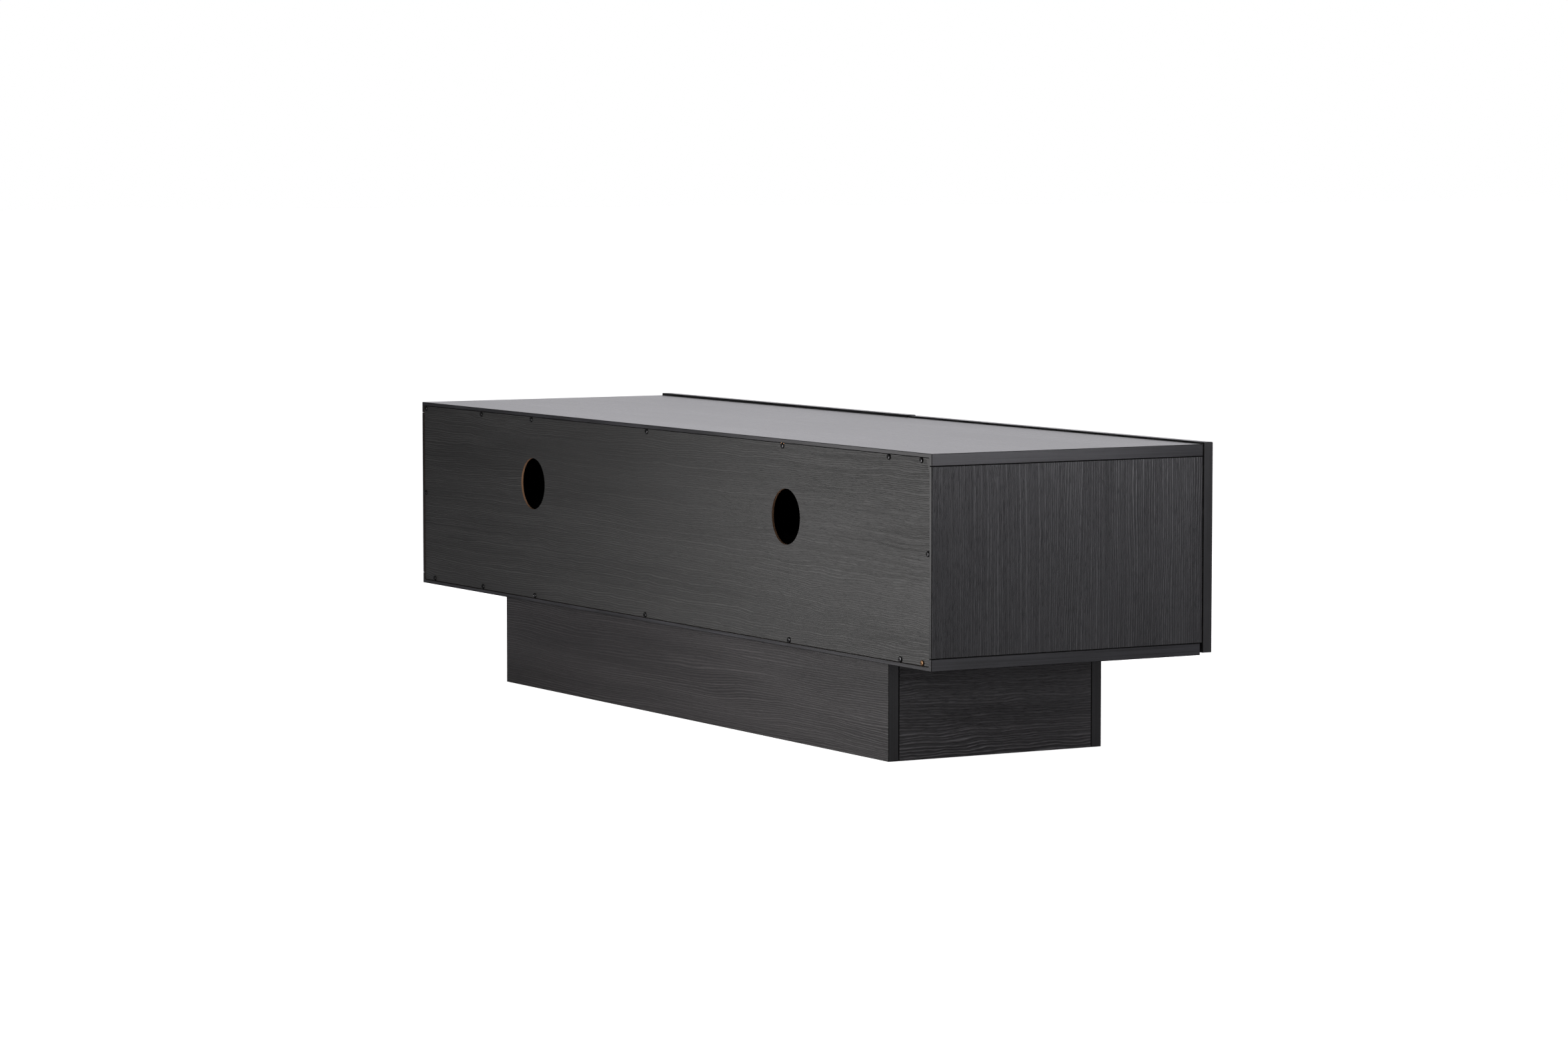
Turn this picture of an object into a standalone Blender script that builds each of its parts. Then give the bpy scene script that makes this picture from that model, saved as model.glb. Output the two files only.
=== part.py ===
"""Low cabinet on a recessed plinth, with two wide drawers.

Metres, +Z up. The drawer fronts face -Y and the back panel faces +Y. The origin is at floor level, in
the middle of the overall box. Left and right are as seen from the front: left is -X, right is +X.
"""

import math

import bmesh
import bpy
from mathutils import Matrix, Vector

# Overall sizes
LENGTH = 1.500
CARCASS_DEPTH = 0.422
CARCASS_HEIGHT = 0.2805
PLINTH_HEIGHT = 0.140

# Board and panel stock
BOARD = 0.016
FRONT_BOARD = 0.015
DRAWER_BOARD = 0.012
BACK_SHEET = 0.003
DRAWER_SHEET = 0.003

# Edge rounding and fits
EDGE_ROUND = 0.0005
FRONT_EDGE_ROUND = 0.001
SHEET_EDGE_ROUND = 0.0003
TOUCH_GAP = 0.0003
GROOVE_FIT = 0.0003
SHEET_FIT = 0.0006

# Carcass
BOTTOM_SETBACK = 0.0028
LIP = 0.005
REBATE_CORNER = 0.004
PANEL_RECESS = 0.001

# Cable holes in the back panel
CABLE_HOLE_RADIUS = 0.038
CABLE_HOLE_DROP = 0.1048

# Back panel screws. The rows give each screw's distance from the end named, or to the right of the
# middle. The side screws' rise is over mid-height.
SCREW_INSET = 0.0095
SCREW_HEAD_RADIUS = 0.004
SCREW_HEAD_HEIGHT = 0.0018
SCREW_SHANK_RADIUS = 0.0015
SCREW_LENGTH = 0.014
SCREW_HOLE_FIT = 0.0003
RECESS_REACH = 0.0021
RECESS_HALF_WIDTH = 0.0005
RECESS_DEPTH = 0.0010
SCREW_TURN_STEP = 37.0
TOP_ROW = {"right": (0.012, 0.204, 0.3705), "middle": 0.0195, "left": (0.3835, 0.107, 0.0265)}
BOTTOM_ROW = {"right": (0.0403, 0.2072, 0.3796), "middle": 0.025, "left": (0.3662, 0.0775, 0.0231)}
SIDE_SCREW_RISE = {"right": 0.0, "left": 0.011}

# Plinth
PLINTH_END_INSET = 0.188
PLINTH_BACK_INSET = 0.050
PLINTH_FRONT_INSET = 0.050
CORNER_BLOCK = 0.030
CORNER_BLOCK_HEIGHT = 0.100
CORNER_BLOCK_ROUND = 0.003

# Drawer fronts. Each is hung a little above the top panel, the right one a touch higher.
FRONT_GAP = 0.001
FRONT_TRIM = 0.0003
MIDDLE_GAP = 0.004
FRONT_LIFT = {"left": 0.0025, "right": 0.0034}

# Drawer boxes. The space behind them takes cables, and the headroom keeps the cable holes open.
CABLE_SPACE = 0.064
DRAWER_HEADROOM = 0.1105
DRAWER_BACK_DROP = 0.012
DRAWER_FLOOR_CLEARANCE = 0.018
GROOVE_DEPTH = 0.006
GROOVE_RISE = 0.010

# Runners: three nested steel channels on each side of a drawer
RUNNER_SPACE = 0.0127
RUNNER_SETBACK = 0.003
RUNNER_TAIL = 0.001
RUNNER_HEIGHT = 0.035
RUNNER_STEEL = 0.001
BALL_SPACE = 0.0032
MIDDLE_WEB_OFFSET = 0.0028
CABINET_LIP_CLEAR = 0.0032
MIDDLE_LIP_CLEAR = 0.0019
DRAWER_LIP_CLEAR = 0.0012

# Push latches: a sprung plunger in a housing under the top panel
LATCH_WIDTH = 0.016
LATCH_HEIGHT = 0.014
LATCH_LENGTH = 0.070
LATCH_SETBACK = 0.001
LATCH_BORE_DEPTH = 0.060
PLUNGER_RADIUS = 0.004
PLUNGER_LENGTH = 0.050
PLUNGER_FIT = 0.0004
PLUNGER_TIP_ROUND = 0.001

# Facets round a full turn
SCREW_FACETS = 12
HOLE_FACETS = 12
PLUNGER_FACETS = 20
CABLE_HOLE_FACETS = 56
CORNER_FACETS = 5

# Worked-out places
SCREW_PROUD = TOUCH_GAP + SCREW_HEAD_HEIGHT - PANEL_RECESS
OVERALL_DEPTH = FRONT_BOARD + FRONT_GAP + CARCASS_DEPTH + max(SCREW_PROUD, 0.0)
HALF_LENGTH = LENGTH / 2
Y_FACE = -OVERALL_DEPTH / 2
Y_FRONT_BACK = Y_FACE + FRONT_BOARD
Y_MOUTH = Y_FRONT_BACK + FRONT_GAP
Y_REAR = Y_MOUTH + CARCASS_DEPTH
Y_PANEL_OUTER = Y_REAR - PANEL_RECESS
Y_PANEL_INNER = Y_PANEL_OUTER - BACK_SHEET
Z_UNDERSIDE = PLINTH_HEIGHT
Z_TOP = PLINTH_HEIGHT + CARCASS_HEIGHT
Z_FLOOR_IN = Z_UNDERSIDE + BOARD
Z_CEILING_IN = Z_TOP - BOARD
X_PLINTH = HALF_LENGTH - PLINTH_END_INSET
Y_PLINTH_BACK = Y_REAR - PLINTH_BACK_INSET
Y_PLINTH_FRONT = Y_FACE + PLINTH_FRONT_INSET
Z_DRAWER = Z_FLOOR_IN + DRAWER_FLOOR_CLEARANCE
Z_SHEET = Z_DRAWER + GROOVE_RISE
Y_DRAWER_FRONT = Y_FRONT_BACK + TOUCH_GAP
Y_DRAWER_REAR = Y_PANEL_INNER - CABLE_SPACE
Z_DRAWER_TOP = Z_CEILING_IN - DRAWER_HEADROOM
Z_RUNNER = (Z_DRAWER + Z_DRAWER_TOP) / 2
Y_RUNNER = Y_MOUTH + RUNNER_SETBACK
RUNNER_LENGTH = Y_DRAWER_REAR - RUNNER_TAIL - Y_RUNNER

# Finishes: colour, roughness, metallic
FOIL = ((0.045, 0.045, 0.047, 1.0), 0.45, 0.0)
TOP_FOIL = ((0.060, 0.060, 0.063, 1.0), 0.35, 0.0)
SHEET_FOIL = ((0.050, 0.050, 0.049, 1.0), 0.50, 0.0)
PLINTH_FOIL = ((0.035, 0.034, 0.034, 1.0), 0.45, 0.0)
DRAWER_FOIL = ((0.080, 0.080, 0.082, 1.0), 0.55, 0.0)
RAW_WOOD = ((0.450, 0.320, 0.190, 1.0), 0.75, 0.0)
BLACK_STEEL = ((0.020, 0.020, 0.021, 1.0), 0.40, 1.0)
ZINC_STEEL = ((0.550, 0.560, 0.570, 1.0), 0.30, 1.0)
PLASTIC = ((0.120, 0.120, 0.125, 1.0), 0.45, 0.0)


def clear_scene():
    for obj in list(bpy.data.objects):
        bpy.data.objects.remove(obj, do_unlink=True)


def give_finish(obj, finish):
    """Give the object its own Principled material."""
    colour, roughness, metallic = finish
    material = bpy.data.materials.new(obj.name)
    material.use_nodes = True
    shader = material.node_tree.nodes["Principled BSDF"]
    shader.inputs["Base Color"].default_value = colour
    shader.inputs["Roughness"].default_value = roughness
    shader.inputs["Metallic"].default_value = metallic
    obj.data.materials.clear()
    obj.data.materials.append(material)


def place(name, mesh, centre, parent=None):
    """Link an object with this mesh at a world point, under a parent empty if there is one."""
    obj = bpy.data.objects.new(name, mesh)
    bpy.context.collection.objects.link(obj)
    obj.parent = parent
    obj.location = Vector(centre) - (parent.location if parent else Vector())
    return obj


def empty_at(name, point):
    """An empty on a slide's axis, which a moving group hangs from."""
    empty = bpy.data.objects.new(name, None)
    bpy.context.collection.objects.link(empty)
    empty.location = point
    return empty


def mesh_from(name, bm):
    bmesh.ops.recalc_face_normals(bm, faces=bm.faces)
    mesh = bpy.data.meshes.new(name)
    bm.to_mesh(mesh)
    bm.free()
    return mesh


def add_box(bm, low, high):
    """Add a box between two corners."""
    low, high = Vector(low), Vector(high)
    size = Matrix.Diagonal((*(high - low), 1.0))
    bmesh.ops.create_cube(bm, size=1.0, matrix=Matrix.Translation((low + high) / 2) @ size)


def board(name, low, high, finish, parent=None, edge=EDGE_ROUND):
    """A board between two corners, with all its edges rounded."""
    low, high = Vector(low), Vector(high)
    half = (high - low) / 2
    bm = bmesh.new()
    add_box(bm, -half, half)
    obj = place(name, mesh_from(name, bm), (low + high) / 2, parent)
    rounding = obj.modifiers.new("edge_rounding", "BEVEL")
    rounding.width = edge
    rounding.segments = 2
    give_finish(obj, finish)
    return obj


def cutter(name, bm):
    """A helper solid that other pieces are cut by."""
    obj = place(name, mesh_from(name, bm), (0, 0, 0))
    obj.hide_render = True
    obj.display_type = "WIRE"
    return obj


def cut(obj, tool):
    boolean = obj.modifiers.new("cut_" + tool.name, "BOOLEAN")
    boolean.operation = "DIFFERENCE"
    boolean.solver = "EXACT"
    boolean.object = tool


def extrude_outline(bm, points, low, high, axis):
    """Extrude a flat outline of 3-D points along one axis, from low to high."""
    corners = []
    for point in points:
        corner = Vector(point)
        corner[axis] = low
        corners.append(bm.verts.new(corner))
    face = bm.faces.new(corners)
    grown = bmesh.ops.extrude_face_region(bm, geom=[face])["geom"]
    shift = Vector((0, 0, 0))
    shift[axis] = high - low
    moved = [item for item in grown if isinstance(item, bmesh.types.BMVert)]
    bmesh.ops.translate(bm, verts=moved, vec=shift)


def rounded_outline(half_x, low_z, high_z, radius):
    """Corner points, in X and Z, of an upright rectangle with round corners."""
    centres = (
        (half_x - radius, high_z - radius, 0),
        (-half_x + radius, high_z - radius, 90),
        (-half_x + radius, low_z + radius, 180),
        (half_x - radius, low_z + radius, 270),
    )
    points = []
    for x, z, start in centres:
        for step in range(CORNER_FACETS + 1):
            angle = math.radians(start + 90 * step / CORNER_FACETS)
            points.append((x + radius * math.cos(angle), 0, z + radius * math.sin(angle)))
    return points


def turned(bm, profile, facets):
    """Turn a profile of (radius, y) pairs round the Y axis into a closed solid."""
    verts = [bm.verts.new((radius, y, 0)) for radius, y in profile]
    edges = [bm.edges.new(pair) for pair in zip(verts, verts[1:])]
    turn = {"cent": (0, 0, 0), "axis": (0, 1, 0), "angle": 2 * math.pi}
    bmesh.ops.spin(bm, geom=verts + edges, steps=facets, use_merge=True, **turn)
    bmesh.ops.remove_doubles(bm, verts=bm.verts, dist=1e-6)


def add_rod(bm, radius, facets, centre, low_y, high_y):
    """Add a closed rod along Y."""
    x, z = centre
    upright_to_y = Matrix.Rotation(math.radians(90), 4, "X")
    middle = Matrix.Translation((x, (low_y + high_y) / 2, z))
    bmesh.ops.create_cone(
        bm,
        cap_ends=True,
        segments=facets,
        radius1=radius,
        radius2=radius,
        depth=high_y - low_y,
        matrix=middle @ upright_to_y,
    )


def screw_places():
    """World X and Z of every back panel screw: the top row, the bottom row, then the two sides."""
    places = []
    for row, z in ((TOP_ROW, Z_TOP - SCREW_INSET), (BOTTOM_ROW, Z_UNDERSIDE + SCREW_INSET)):
        places += [(HALF_LENGTH - distance, z) for distance in row["right"]]
        places.append((row["middle"], z))
        places += [(distance - HALF_LENGTH, z) for distance in row["left"]]
    x_side = HALF_LENGTH - SCREW_INSET
    mid_height = (Z_UNDERSIDE + Z_TOP) / 2
    places.append((x_side, mid_height + SIDE_SCREW_RISE["right"]))
    places.append((-x_side, mid_height + SIDE_SCREW_RISE["left"]))
    return places


def make_cutters():
    """The rebate that takes the back panel, and the holes of its screws."""
    bm = bmesh.new()
    outline = rounded_outline(HALF_LENGTH - LIP, Z_UNDERSIDE + LIP, Z_TOP - LIP, REBATE_CORNER)
    extrude_outline(bm, outline, Y_PANEL_INNER - TOUCH_GAP, Y_REAR + BOARD, 1)
    rebate = cutter("rebate_cutter", bm)

    bm = bmesh.new()
    hole_radius = SCREW_SHANK_RADIUS + SCREW_HOLE_FIT
    deepest = Y_PANEL_OUTER - SCREW_LENGTH - TOUCH_GAP
    for place_of in screw_places():
        add_rod(bm, hole_radius, HOLE_FACETS, place_of, deepest, Y_REAR + BOARD)
    return rebate, cutter("screw_hole_cutter", bm)


def make_carcass(rebate, screw_holes):
    """Full-length top and bottom panels, the two sides between them, and the middle partition."""
    top = board(
        "top_panel", (-HALF_LENGTH, Y_MOUTH, Z_CEILING_IN), (HALF_LENGTH, Y_REAR, Z_TOP), TOP_FOIL
    )
    bottom = board(
        "bottom_panel",
        (-HALF_LENGTH, Y_MOUTH + BOTTOM_SETBACK, Z_UNDERSIDE),
        (HALF_LENGTH, Y_REAR, Z_FLOOR_IN),
        FOIL,
    )
    low_z, high_z = Z_FLOOR_IN + TOUCH_GAP, Z_CEILING_IN - TOUCH_GAP
    inner = HALF_LENGTH - BOARD
    left = board("side_panel_left", (-HALF_LENGTH, Y_MOUTH, low_z), (-inner, Y_REAR, high_z), FOIL)
    right = board("side_panel_right", (inner, Y_MOUTH, low_z), (HALF_LENGTH, Y_REAR, high_z), FOIL)
    for piece in (top, bottom, left, right):
        cut(piece, rebate)
        cut(piece, screw_holes)
    board(
        "centre_partition",
        (-BOARD / 2, Y_MOUTH, low_z),
        (BOARD / 2, Y_PANEL_INNER - TOUCH_GAP, high_z),
        FOIL,
    )


def make_back_panel(screw_holes):
    """Thin sheet in the rebate, with two round cable holes and its screw holes."""
    bm = bmesh.new()
    reach = LIP + SHEET_FIT
    low_z, high_z = Z_UNDERSIDE + reach, Z_TOP - reach
    outline = rounded_outline(HALF_LENGTH - reach, low_z, high_z, REBATE_CORNER - SHEET_FIT)
    extrude_outline(bm, outline, Y_PANEL_INNER, Y_PANEL_OUTER, 1)
    panel = place("back_panel", mesh_from("back_panel", bm), (0, 0, 0))
    rounding = panel.modifiers.new("edge_rounding", "BEVEL")
    rounding.width = SHEET_EDGE_ROUND
    rounding.segments = 1
    give_finish(panel, SHEET_FOIL)

    bm = bmesh.new()
    for x in (-LENGTH / 4, LENGTH / 4):
        centre = (x, Z_TOP - CABLE_HOLE_DROP)
        add_rod(bm, CABLE_HOLE_RADIUS, CABLE_HOLE_FACETS, centre, Y_PANEL_INNER - BOARD, Y_REAR + BOARD)
    cut(panel, cutter("cable_hole_cutter", bm))
    cut(panel, screw_holes)


def cross_outline(reach, half_width):
    """Twelve corner points, in X and Z, of a plain cross."""
    points = []
    for quarter in range(4):
        angle = math.radians(90 * quarter)
        along = Vector((math.cos(angle), 0, math.sin(angle)))
        across = Vector((-math.sin(angle), 0, math.cos(angle)))
        points.append(along * reach - across * half_width)
        points.append(along * reach + across * half_width)
        points.append(along * half_width + across * half_width)
    return points


def make_screws():
    """Pan-head screws with a cross recess. Each is turned as it stopped when it was driven in."""
    seat = Y_PANEL_OUTER + TOUCH_GAP
    rim, height = SCREW_HEAD_RADIUS, SCREW_HEAD_HEIGHT
    shank, tip = SCREW_SHANK_RADIUS, -SCREW_LENGTH
    profile = (
        (0, height),
        (rim * 0.55, height * 0.95),
        (rim * 0.88, height * 0.65),
        (rim, height * 0.2),
        (rim, 0),
        (shank, 0),
        (shank, tip + 2 * shank),
        (0, tip),
    )
    bm = bmesh.new()
    turned(bm, profile, SCREW_FACETS)
    blank = place("screw_blank", mesh_from("screw_blank", bm), (0, 0, 0))

    bm = bmesh.new()
    outline = cross_outline(RECESS_REACH, RECESS_HALF_WIDTH)
    extrude_outline(bm, outline, height - RECESS_DEPTH, height + RECESS_DEPTH, 1)
    recess = cutter("recess_cutter", bm)
    cut(blank, recess)
    bpy.context.view_layer.update()
    graph = bpy.context.evaluated_depsgraph_get()
    finished = bpy.data.meshes.new_from_object(blank.evaluated_get(graph))
    for helper in (blank, recess):
        bpy.data.objects.remove(helper, do_unlink=True)

    for number, (x, z) in enumerate(screw_places(), start=1):
        screw = place(f"back_panel_screw_{number:02d}", finished.copy(), (x, seat, z))
        screw.rotation_euler.y = math.radians(SCREW_TURN_STEP * number)
        give_finish(screw, BLACK_STEEL)


def make_plinth():
    """Recessed base: long front and back boards, end boards between them, a brace and corner blocks."""
    top = PLINTH_HEIGHT - TOUCH_GAP
    inner_front = Y_PLINTH_FRONT + BOARD
    inner_back = Y_PLINTH_BACK - BOARD
    inner_x = X_PLINTH - BOARD
    board(
        "plinth_front_board", (-X_PLINTH, Y_PLINTH_FRONT, 0), (X_PLINTH, inner_front, top), PLINTH_FOIL
    )
    board("plinth_back_board", (-X_PLINTH, inner_back, 0), (X_PLINTH, Y_PLINTH_BACK, top), PLINTH_FOIL)
    low_y, high_y = inner_front + TOUCH_GAP, inner_back - TOUCH_GAP
    board("plinth_end_board_left", (-X_PLINTH, low_y, 0), (-inner_x, high_y, top), PLINTH_FOIL)
    board("plinth_end_board_right", (inner_x, low_y, 0), (X_PLINTH, high_y, top), PLINTH_FOIL)
    board("plinth_cross_brace", (-BOARD / 2, low_y, 0), (BOARD / 2, high_y, top), PLINTH_FOIL)
    block_reach = inner_x - TOUCH_GAP
    for side, sign in (("left", -1), ("right", 1)):
        near, far = sign * (block_reach - CORNER_BLOCK), sign * block_reach
        for end, start_y in (("front", low_y), ("back", high_y - CORNER_BLOCK)):
            board(
                f"plinth_corner_block_{end}_{side}",
                (min(near, far), start_y, top - CORNER_BLOCK_HEIGHT),
                (max(near, far), start_y + CORNER_BLOCK, top),
                RAW_WOOD,
                edge=CORNER_BLOCK_ROUND,
            )


def drawer_span(sign):
    """World X of a drawer box's outer faces, low then high."""
    near = BOARD / 2 + RUNNER_SPACE
    far = HALF_LENGTH - BOARD - RUNNER_SPACE
    return (near, far) if sign > 0 else (-far, -near)


def make_drawer(side, sign):
    """Front, two sides, back and bottom sheet, all hung from an empty on the slide's axis."""
    name = side + "_drawer"
    low_x, high_x = drawer_span(sign)
    slide = empty_at(name + "_slide", ((low_x + high_x) / 2, Y_MOUTH, Z_RUNNER))
    inner_low, inner_high = low_x + DRAWER_BOARD, high_x - DRAWER_BOARD

    front_x = sorted((sign * MIDDLE_GAP / 2, sign * HALF_LENGTH))
    front_top = Z_TOP + FRONT_LIFT[side]
    front = board(
        name + "_front",
        (front_x[0], Y_FACE, front_top - CARCASS_HEIGHT + FRONT_TRIM),
        (front_x[1], Y_FRONT_BACK, front_top),
        FOIL,
        slide,
        FRONT_EDGE_ROUND,
    )
    left = board(
        name + "_side_left",
        (low_x, Y_DRAWER_FRONT, Z_DRAWER),
        (inner_low, Y_DRAWER_REAR, Z_DRAWER_TOP),
        DRAWER_FOIL,
        slide,
    )
    right = board(
        name + "_side_right",
        (inner_high, Y_DRAWER_FRONT, Z_DRAWER),
        (high_x, Y_DRAWER_REAR, Z_DRAWER_TOP),
        DRAWER_FOIL,
        slide,
    )
    board(
        name + "_back",
        (inner_low + TOUCH_GAP, Y_DRAWER_REAR - DRAWER_BOARD, Z_SHEET + DRAWER_SHEET + TOUCH_GAP),
        (inner_high - TOUCH_GAP, Y_DRAWER_REAR, Z_DRAWER_TOP - DRAWER_BACK_DROP),
        DRAWER_FOIL,
        slide,
    )
    sheet_low = Vector((inner_low - GROOVE_DEPTH, Y_FRONT_BACK - GROOVE_DEPTH, Z_SHEET))
    sheet_high = Vector((inner_high + GROOVE_DEPTH, Y_DRAWER_REAR, Z_SHEET + DRAWER_SHEET))
    board(name + "_bottom", sheet_low, sheet_high, DRAWER_FOIL, slide, SHEET_EDGE_ROUND)

    fit = Vector((GROOVE_FIT, GROOVE_FIT, GROOVE_FIT))
    bm = bmesh.new()
    add_box(bm, sheet_low - fit, sheet_high + fit + Vector((0, BOARD, 0)))
    groove = cutter(name + "_groove_cutter", bm)
    for piece in (front, left, right):
        cut(piece, groove)
    return slide


def channel_outline(web, flange_end, half_height):
    """A C-shaped outline, in X and Z. Its flanges run from the web towards flange_end."""
    steel = math.copysign(RUNNER_STEEL, flange_end - web)
    inner = half_height - RUNNER_STEEL
    return (
        (web, 0, -half_height),
        (flange_end, 0, -half_height),
        (flange_end, 0, -inner),
        (web + steel, 0, -inner),
        (web + steel, 0, inner),
        (flange_end, 0, inner),
        (flange_end, 0, half_height),
        (web, 0, half_height),
    )


def make_channel(name, face_x, facing, web, flange_end, half_height, parent=None):
    """One runner member. Web and flange end are measured from the cabinet face into the bay."""
    bm = bmesh.new()
    outline = channel_outline(facing * web, facing * flange_end, half_height)
    extrude_outline(bm, outline, 0, RUNNER_LENGTH, 1)
    member = place(name, mesh_from(name, bm), (face_x, Y_RUNNER, Z_RUNNER), parent)
    give_finish(member, ZINC_STEEL)


def make_runners(side, sign, drawer_slide):
    """Cabinet, middle and drawer members on both sides of one bay. The middle pair is its own group."""
    bay = sorted((sign * BOARD / 2, sign * (HALF_LENGTH - BOARD)))
    middle_slide = empty_at(side + "_runner_slide", ((bay[0] + bay[1]) / 2, Y_MOUTH, Z_RUNNER))
    outer_half = RUNNER_HEIGHT / 2
    middle_half = outer_half - RUNNER_STEEL - BALL_SPACE
    inner_half = middle_half - RUNNER_STEEL - BALL_SPACE
    cabinet_lip = RUNNER_SPACE - CABINET_LIP_CLEAR
    middle_lip = RUNNER_SPACE - MIDDLE_LIP_CLEAR
    drawer_web = RUNNER_SPACE - TOUCH_GAP
    drawer_lip = MIDDLE_WEB_OFFSET + RUNNER_STEEL + DRAWER_LIP_CLEAR
    for hand, face_x, facing in (("left", bay[0], 1), ("right", bay[1], -1)):
        prefix = f"{side}_drawer_runner_"
        make_channel(
            f"{prefix}cabinet_member_{hand}", face_x, facing, TOUCH_GAP, cabinet_lip, outer_half
        )
        make_channel(
            f"{prefix}middle_member_{hand}",
            face_x,
            facing,
            MIDDLE_WEB_OFFSET,
            middle_lip,
            middle_half,
            middle_slide,
        )
        make_channel(
            f"{prefix}drawer_member_{hand}",
            face_x,
            facing,
            drawer_web,
            drawer_lip,
            inner_half,
            drawer_slide,
        )


def make_latch(side, sign):
    """Push latch: a housing with a blind bore, and a plunger that stops just short of the front."""
    low_x, high_x = drawer_span(sign)
    x = (low_x + high_x) / 2
    top = Z_CEILING_IN - TOUCH_GAP
    mouth = Y_MOUTH + LATCH_SETBACK
    z = top - LATCH_HEIGHT / 2
    housing = board(
        side + "_push_latch_housing",
        (x - LATCH_WIDTH / 2, mouth, top - LATCH_HEIGHT),
        (x + LATCH_WIDTH / 2, mouth + LATCH_LENGTH, top),
        PLASTIC,
    )
    bm = bmesh.new()
    bore = PLUNGER_RADIUS + PLUNGER_FIT
    add_rod(bm, bore, PLUNGER_FACETS, (x, z), mouth - BOARD, mouth + LATCH_BORE_DEPTH)
    cut(housing, cutter(side + "_latch_bore_cutter", bm))

    tip = Y_FRONT_BACK + TOUCH_GAP
    slide = empty_at(side + "_plunger_slide", (x, tip, z))
    profile = (
        (0, 0),
        (PLUNGER_RADIUS - PLUNGER_TIP_ROUND, 0),
        (PLUNGER_RADIUS, PLUNGER_TIP_ROUND),
        (PLUNGER_RADIUS, PLUNGER_LENGTH),
        (0, PLUNGER_LENGTH),
    )
    bm = bmesh.new()
    turned(bm, profile, PLUNGER_FACETS)
    name = side + "_push_latch_plunger"
    plunger = place(name, mesh_from(name, bm), (x, tip, z), slide)
    plunger.data.shade_smooth()
    plunger.data.set_sharp_from_angle(angle=math.radians(30))
    give_finish(plunger, PLASTIC)


def main():
    clear_scene()
    rebate, screw_holes = make_cutters()
    make_carcass(rebate, screw_holes)
    make_back_panel(screw_holes)
    make_screws()
    make_plinth()
    for side, sign in (("left", -1), ("right", 1)):
        slide = make_drawer(side, sign)
        make_runners(side, sign, slide)
        make_latch(side, sign)


main()
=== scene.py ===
"""Looks of a low black wood-grain cabinet with two wide drawers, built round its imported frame.

Every piece is in metres, in the frame's own coordinates: +Z up, drawer fronts towards -Y, back panel
towards +Y. Left and right are as seen from the front.
"""

import math

import bmesh
import bpy
from bpy.props import FloatProperty, FloatVectorProperty, IntProperty, PointerProperty
from mathutils import Matrix, Vector


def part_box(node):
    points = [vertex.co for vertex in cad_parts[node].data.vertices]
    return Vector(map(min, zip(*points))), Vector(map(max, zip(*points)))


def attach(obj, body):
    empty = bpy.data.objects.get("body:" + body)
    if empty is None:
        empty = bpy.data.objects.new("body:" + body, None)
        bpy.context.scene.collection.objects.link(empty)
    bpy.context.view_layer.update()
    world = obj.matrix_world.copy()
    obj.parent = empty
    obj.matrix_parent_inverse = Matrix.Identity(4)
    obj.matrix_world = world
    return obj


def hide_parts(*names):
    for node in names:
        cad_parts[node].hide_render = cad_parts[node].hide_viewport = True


bl_info = {
    "name": "Low cabinet looks",
    "version": (1, 0, 0),
    "blender": (4, 5, 0),
    "location": "3D View > Sidebar > Cabinet",
    "description": "Builds the boards, fittings, finishes and studio of a low cabinet on a plinth",
    "category": "Object",
}

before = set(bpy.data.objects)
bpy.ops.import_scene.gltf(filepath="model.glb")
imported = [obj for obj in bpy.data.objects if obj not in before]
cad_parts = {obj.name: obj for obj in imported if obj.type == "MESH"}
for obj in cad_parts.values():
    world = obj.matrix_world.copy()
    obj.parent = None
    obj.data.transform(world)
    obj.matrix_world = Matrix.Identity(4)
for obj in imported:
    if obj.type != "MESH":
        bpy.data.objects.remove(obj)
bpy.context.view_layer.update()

SIDES = (("left", -1), ("right", 1))
SCREW_NODES = sorted(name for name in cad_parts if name.startswith("back_panel_screw_"))
CHIPPED_SCREW = "back_panel_screw_05"

# Material slots of a board, and of the back sheet
# The rounding of a board's edges takes a dark seam: partly the band's own joint line, partly painted shade of
# the gaps between boards.
FACE, BAND, RAW, SEAM_AND_SHADE = range(4)
SHEET_FACE, SHEET_SHADED_EDGE, SHEET_RAW = range(3)

GROOVE_FIT = 0.0003
REBATE_FIT = 0.0003
SHEET_CHAMFER = 0.0005
BACK_SCREW_HEAD = 0.0018
PATCH_WIDTH, PATCH_HEIGHT, PATCH_THICKNESS = 0.0085, 0.0200, 0.0003
# Wood chips beside one screw: shift along X and Z from the screw, and turn in degrees
CHIPS_AT_SCREW = ((-0.0034, 0.0030, 30.0), (0.0038, 0.0026, -35.0), (0.0030, 0.0037, 10.0))
CHIP_HALF_SIZE = (0.0013, 0.0004, 0.0006)

# The studio's lights. Bearings are in degrees round the cabinet, from +X towards +Y, and above the floor.
ROOM_CENTRE = Vector((0.0, 0.0, 0.25))
COOL, WARM = (0.99, 0.975, 1.03), (1.0, 0.98, 0.975)
# bearing, height, inner and outer radius of the glow, strength, tint
GLOWS = (
    (322, 10, 10, 24, 0.85, COOL),
    (280, 25, 15, 35, 0.40, COOL),
    (225, 35, 12, 30, 0.30, COOL),
    (135, 32, 12, 30, 0.50, WARM),
    (45, 40, 12, 30, 0.15, WARM),
)
# name, bearing, height, distance in metres, size in metres, brightness, tint
# The two lamps behind the cabinet hang below its top, so the top takes no light from them.
SOFTBOXES = (
    ("end_softbox", 195, 4, 3.5, 0.9, 4.0, COOL),
    ("end_lamp", 193, 16, 1.4, 0.4, 4.0, COOL),
    ("back_lamp", 105, -1, 1.1, 0.36, 25.0, WARM),
    ("near_back_lamp", 60, 1, 1.1, 0.28, 3.0, WARM),
    ("front_softbox", 285, 48, 3.2, 1.6, 5.0, COOL),
    ("right_softbox", 345, 45, 3.0, 1.4, 3.0, COOL),
)


# Properties


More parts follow.
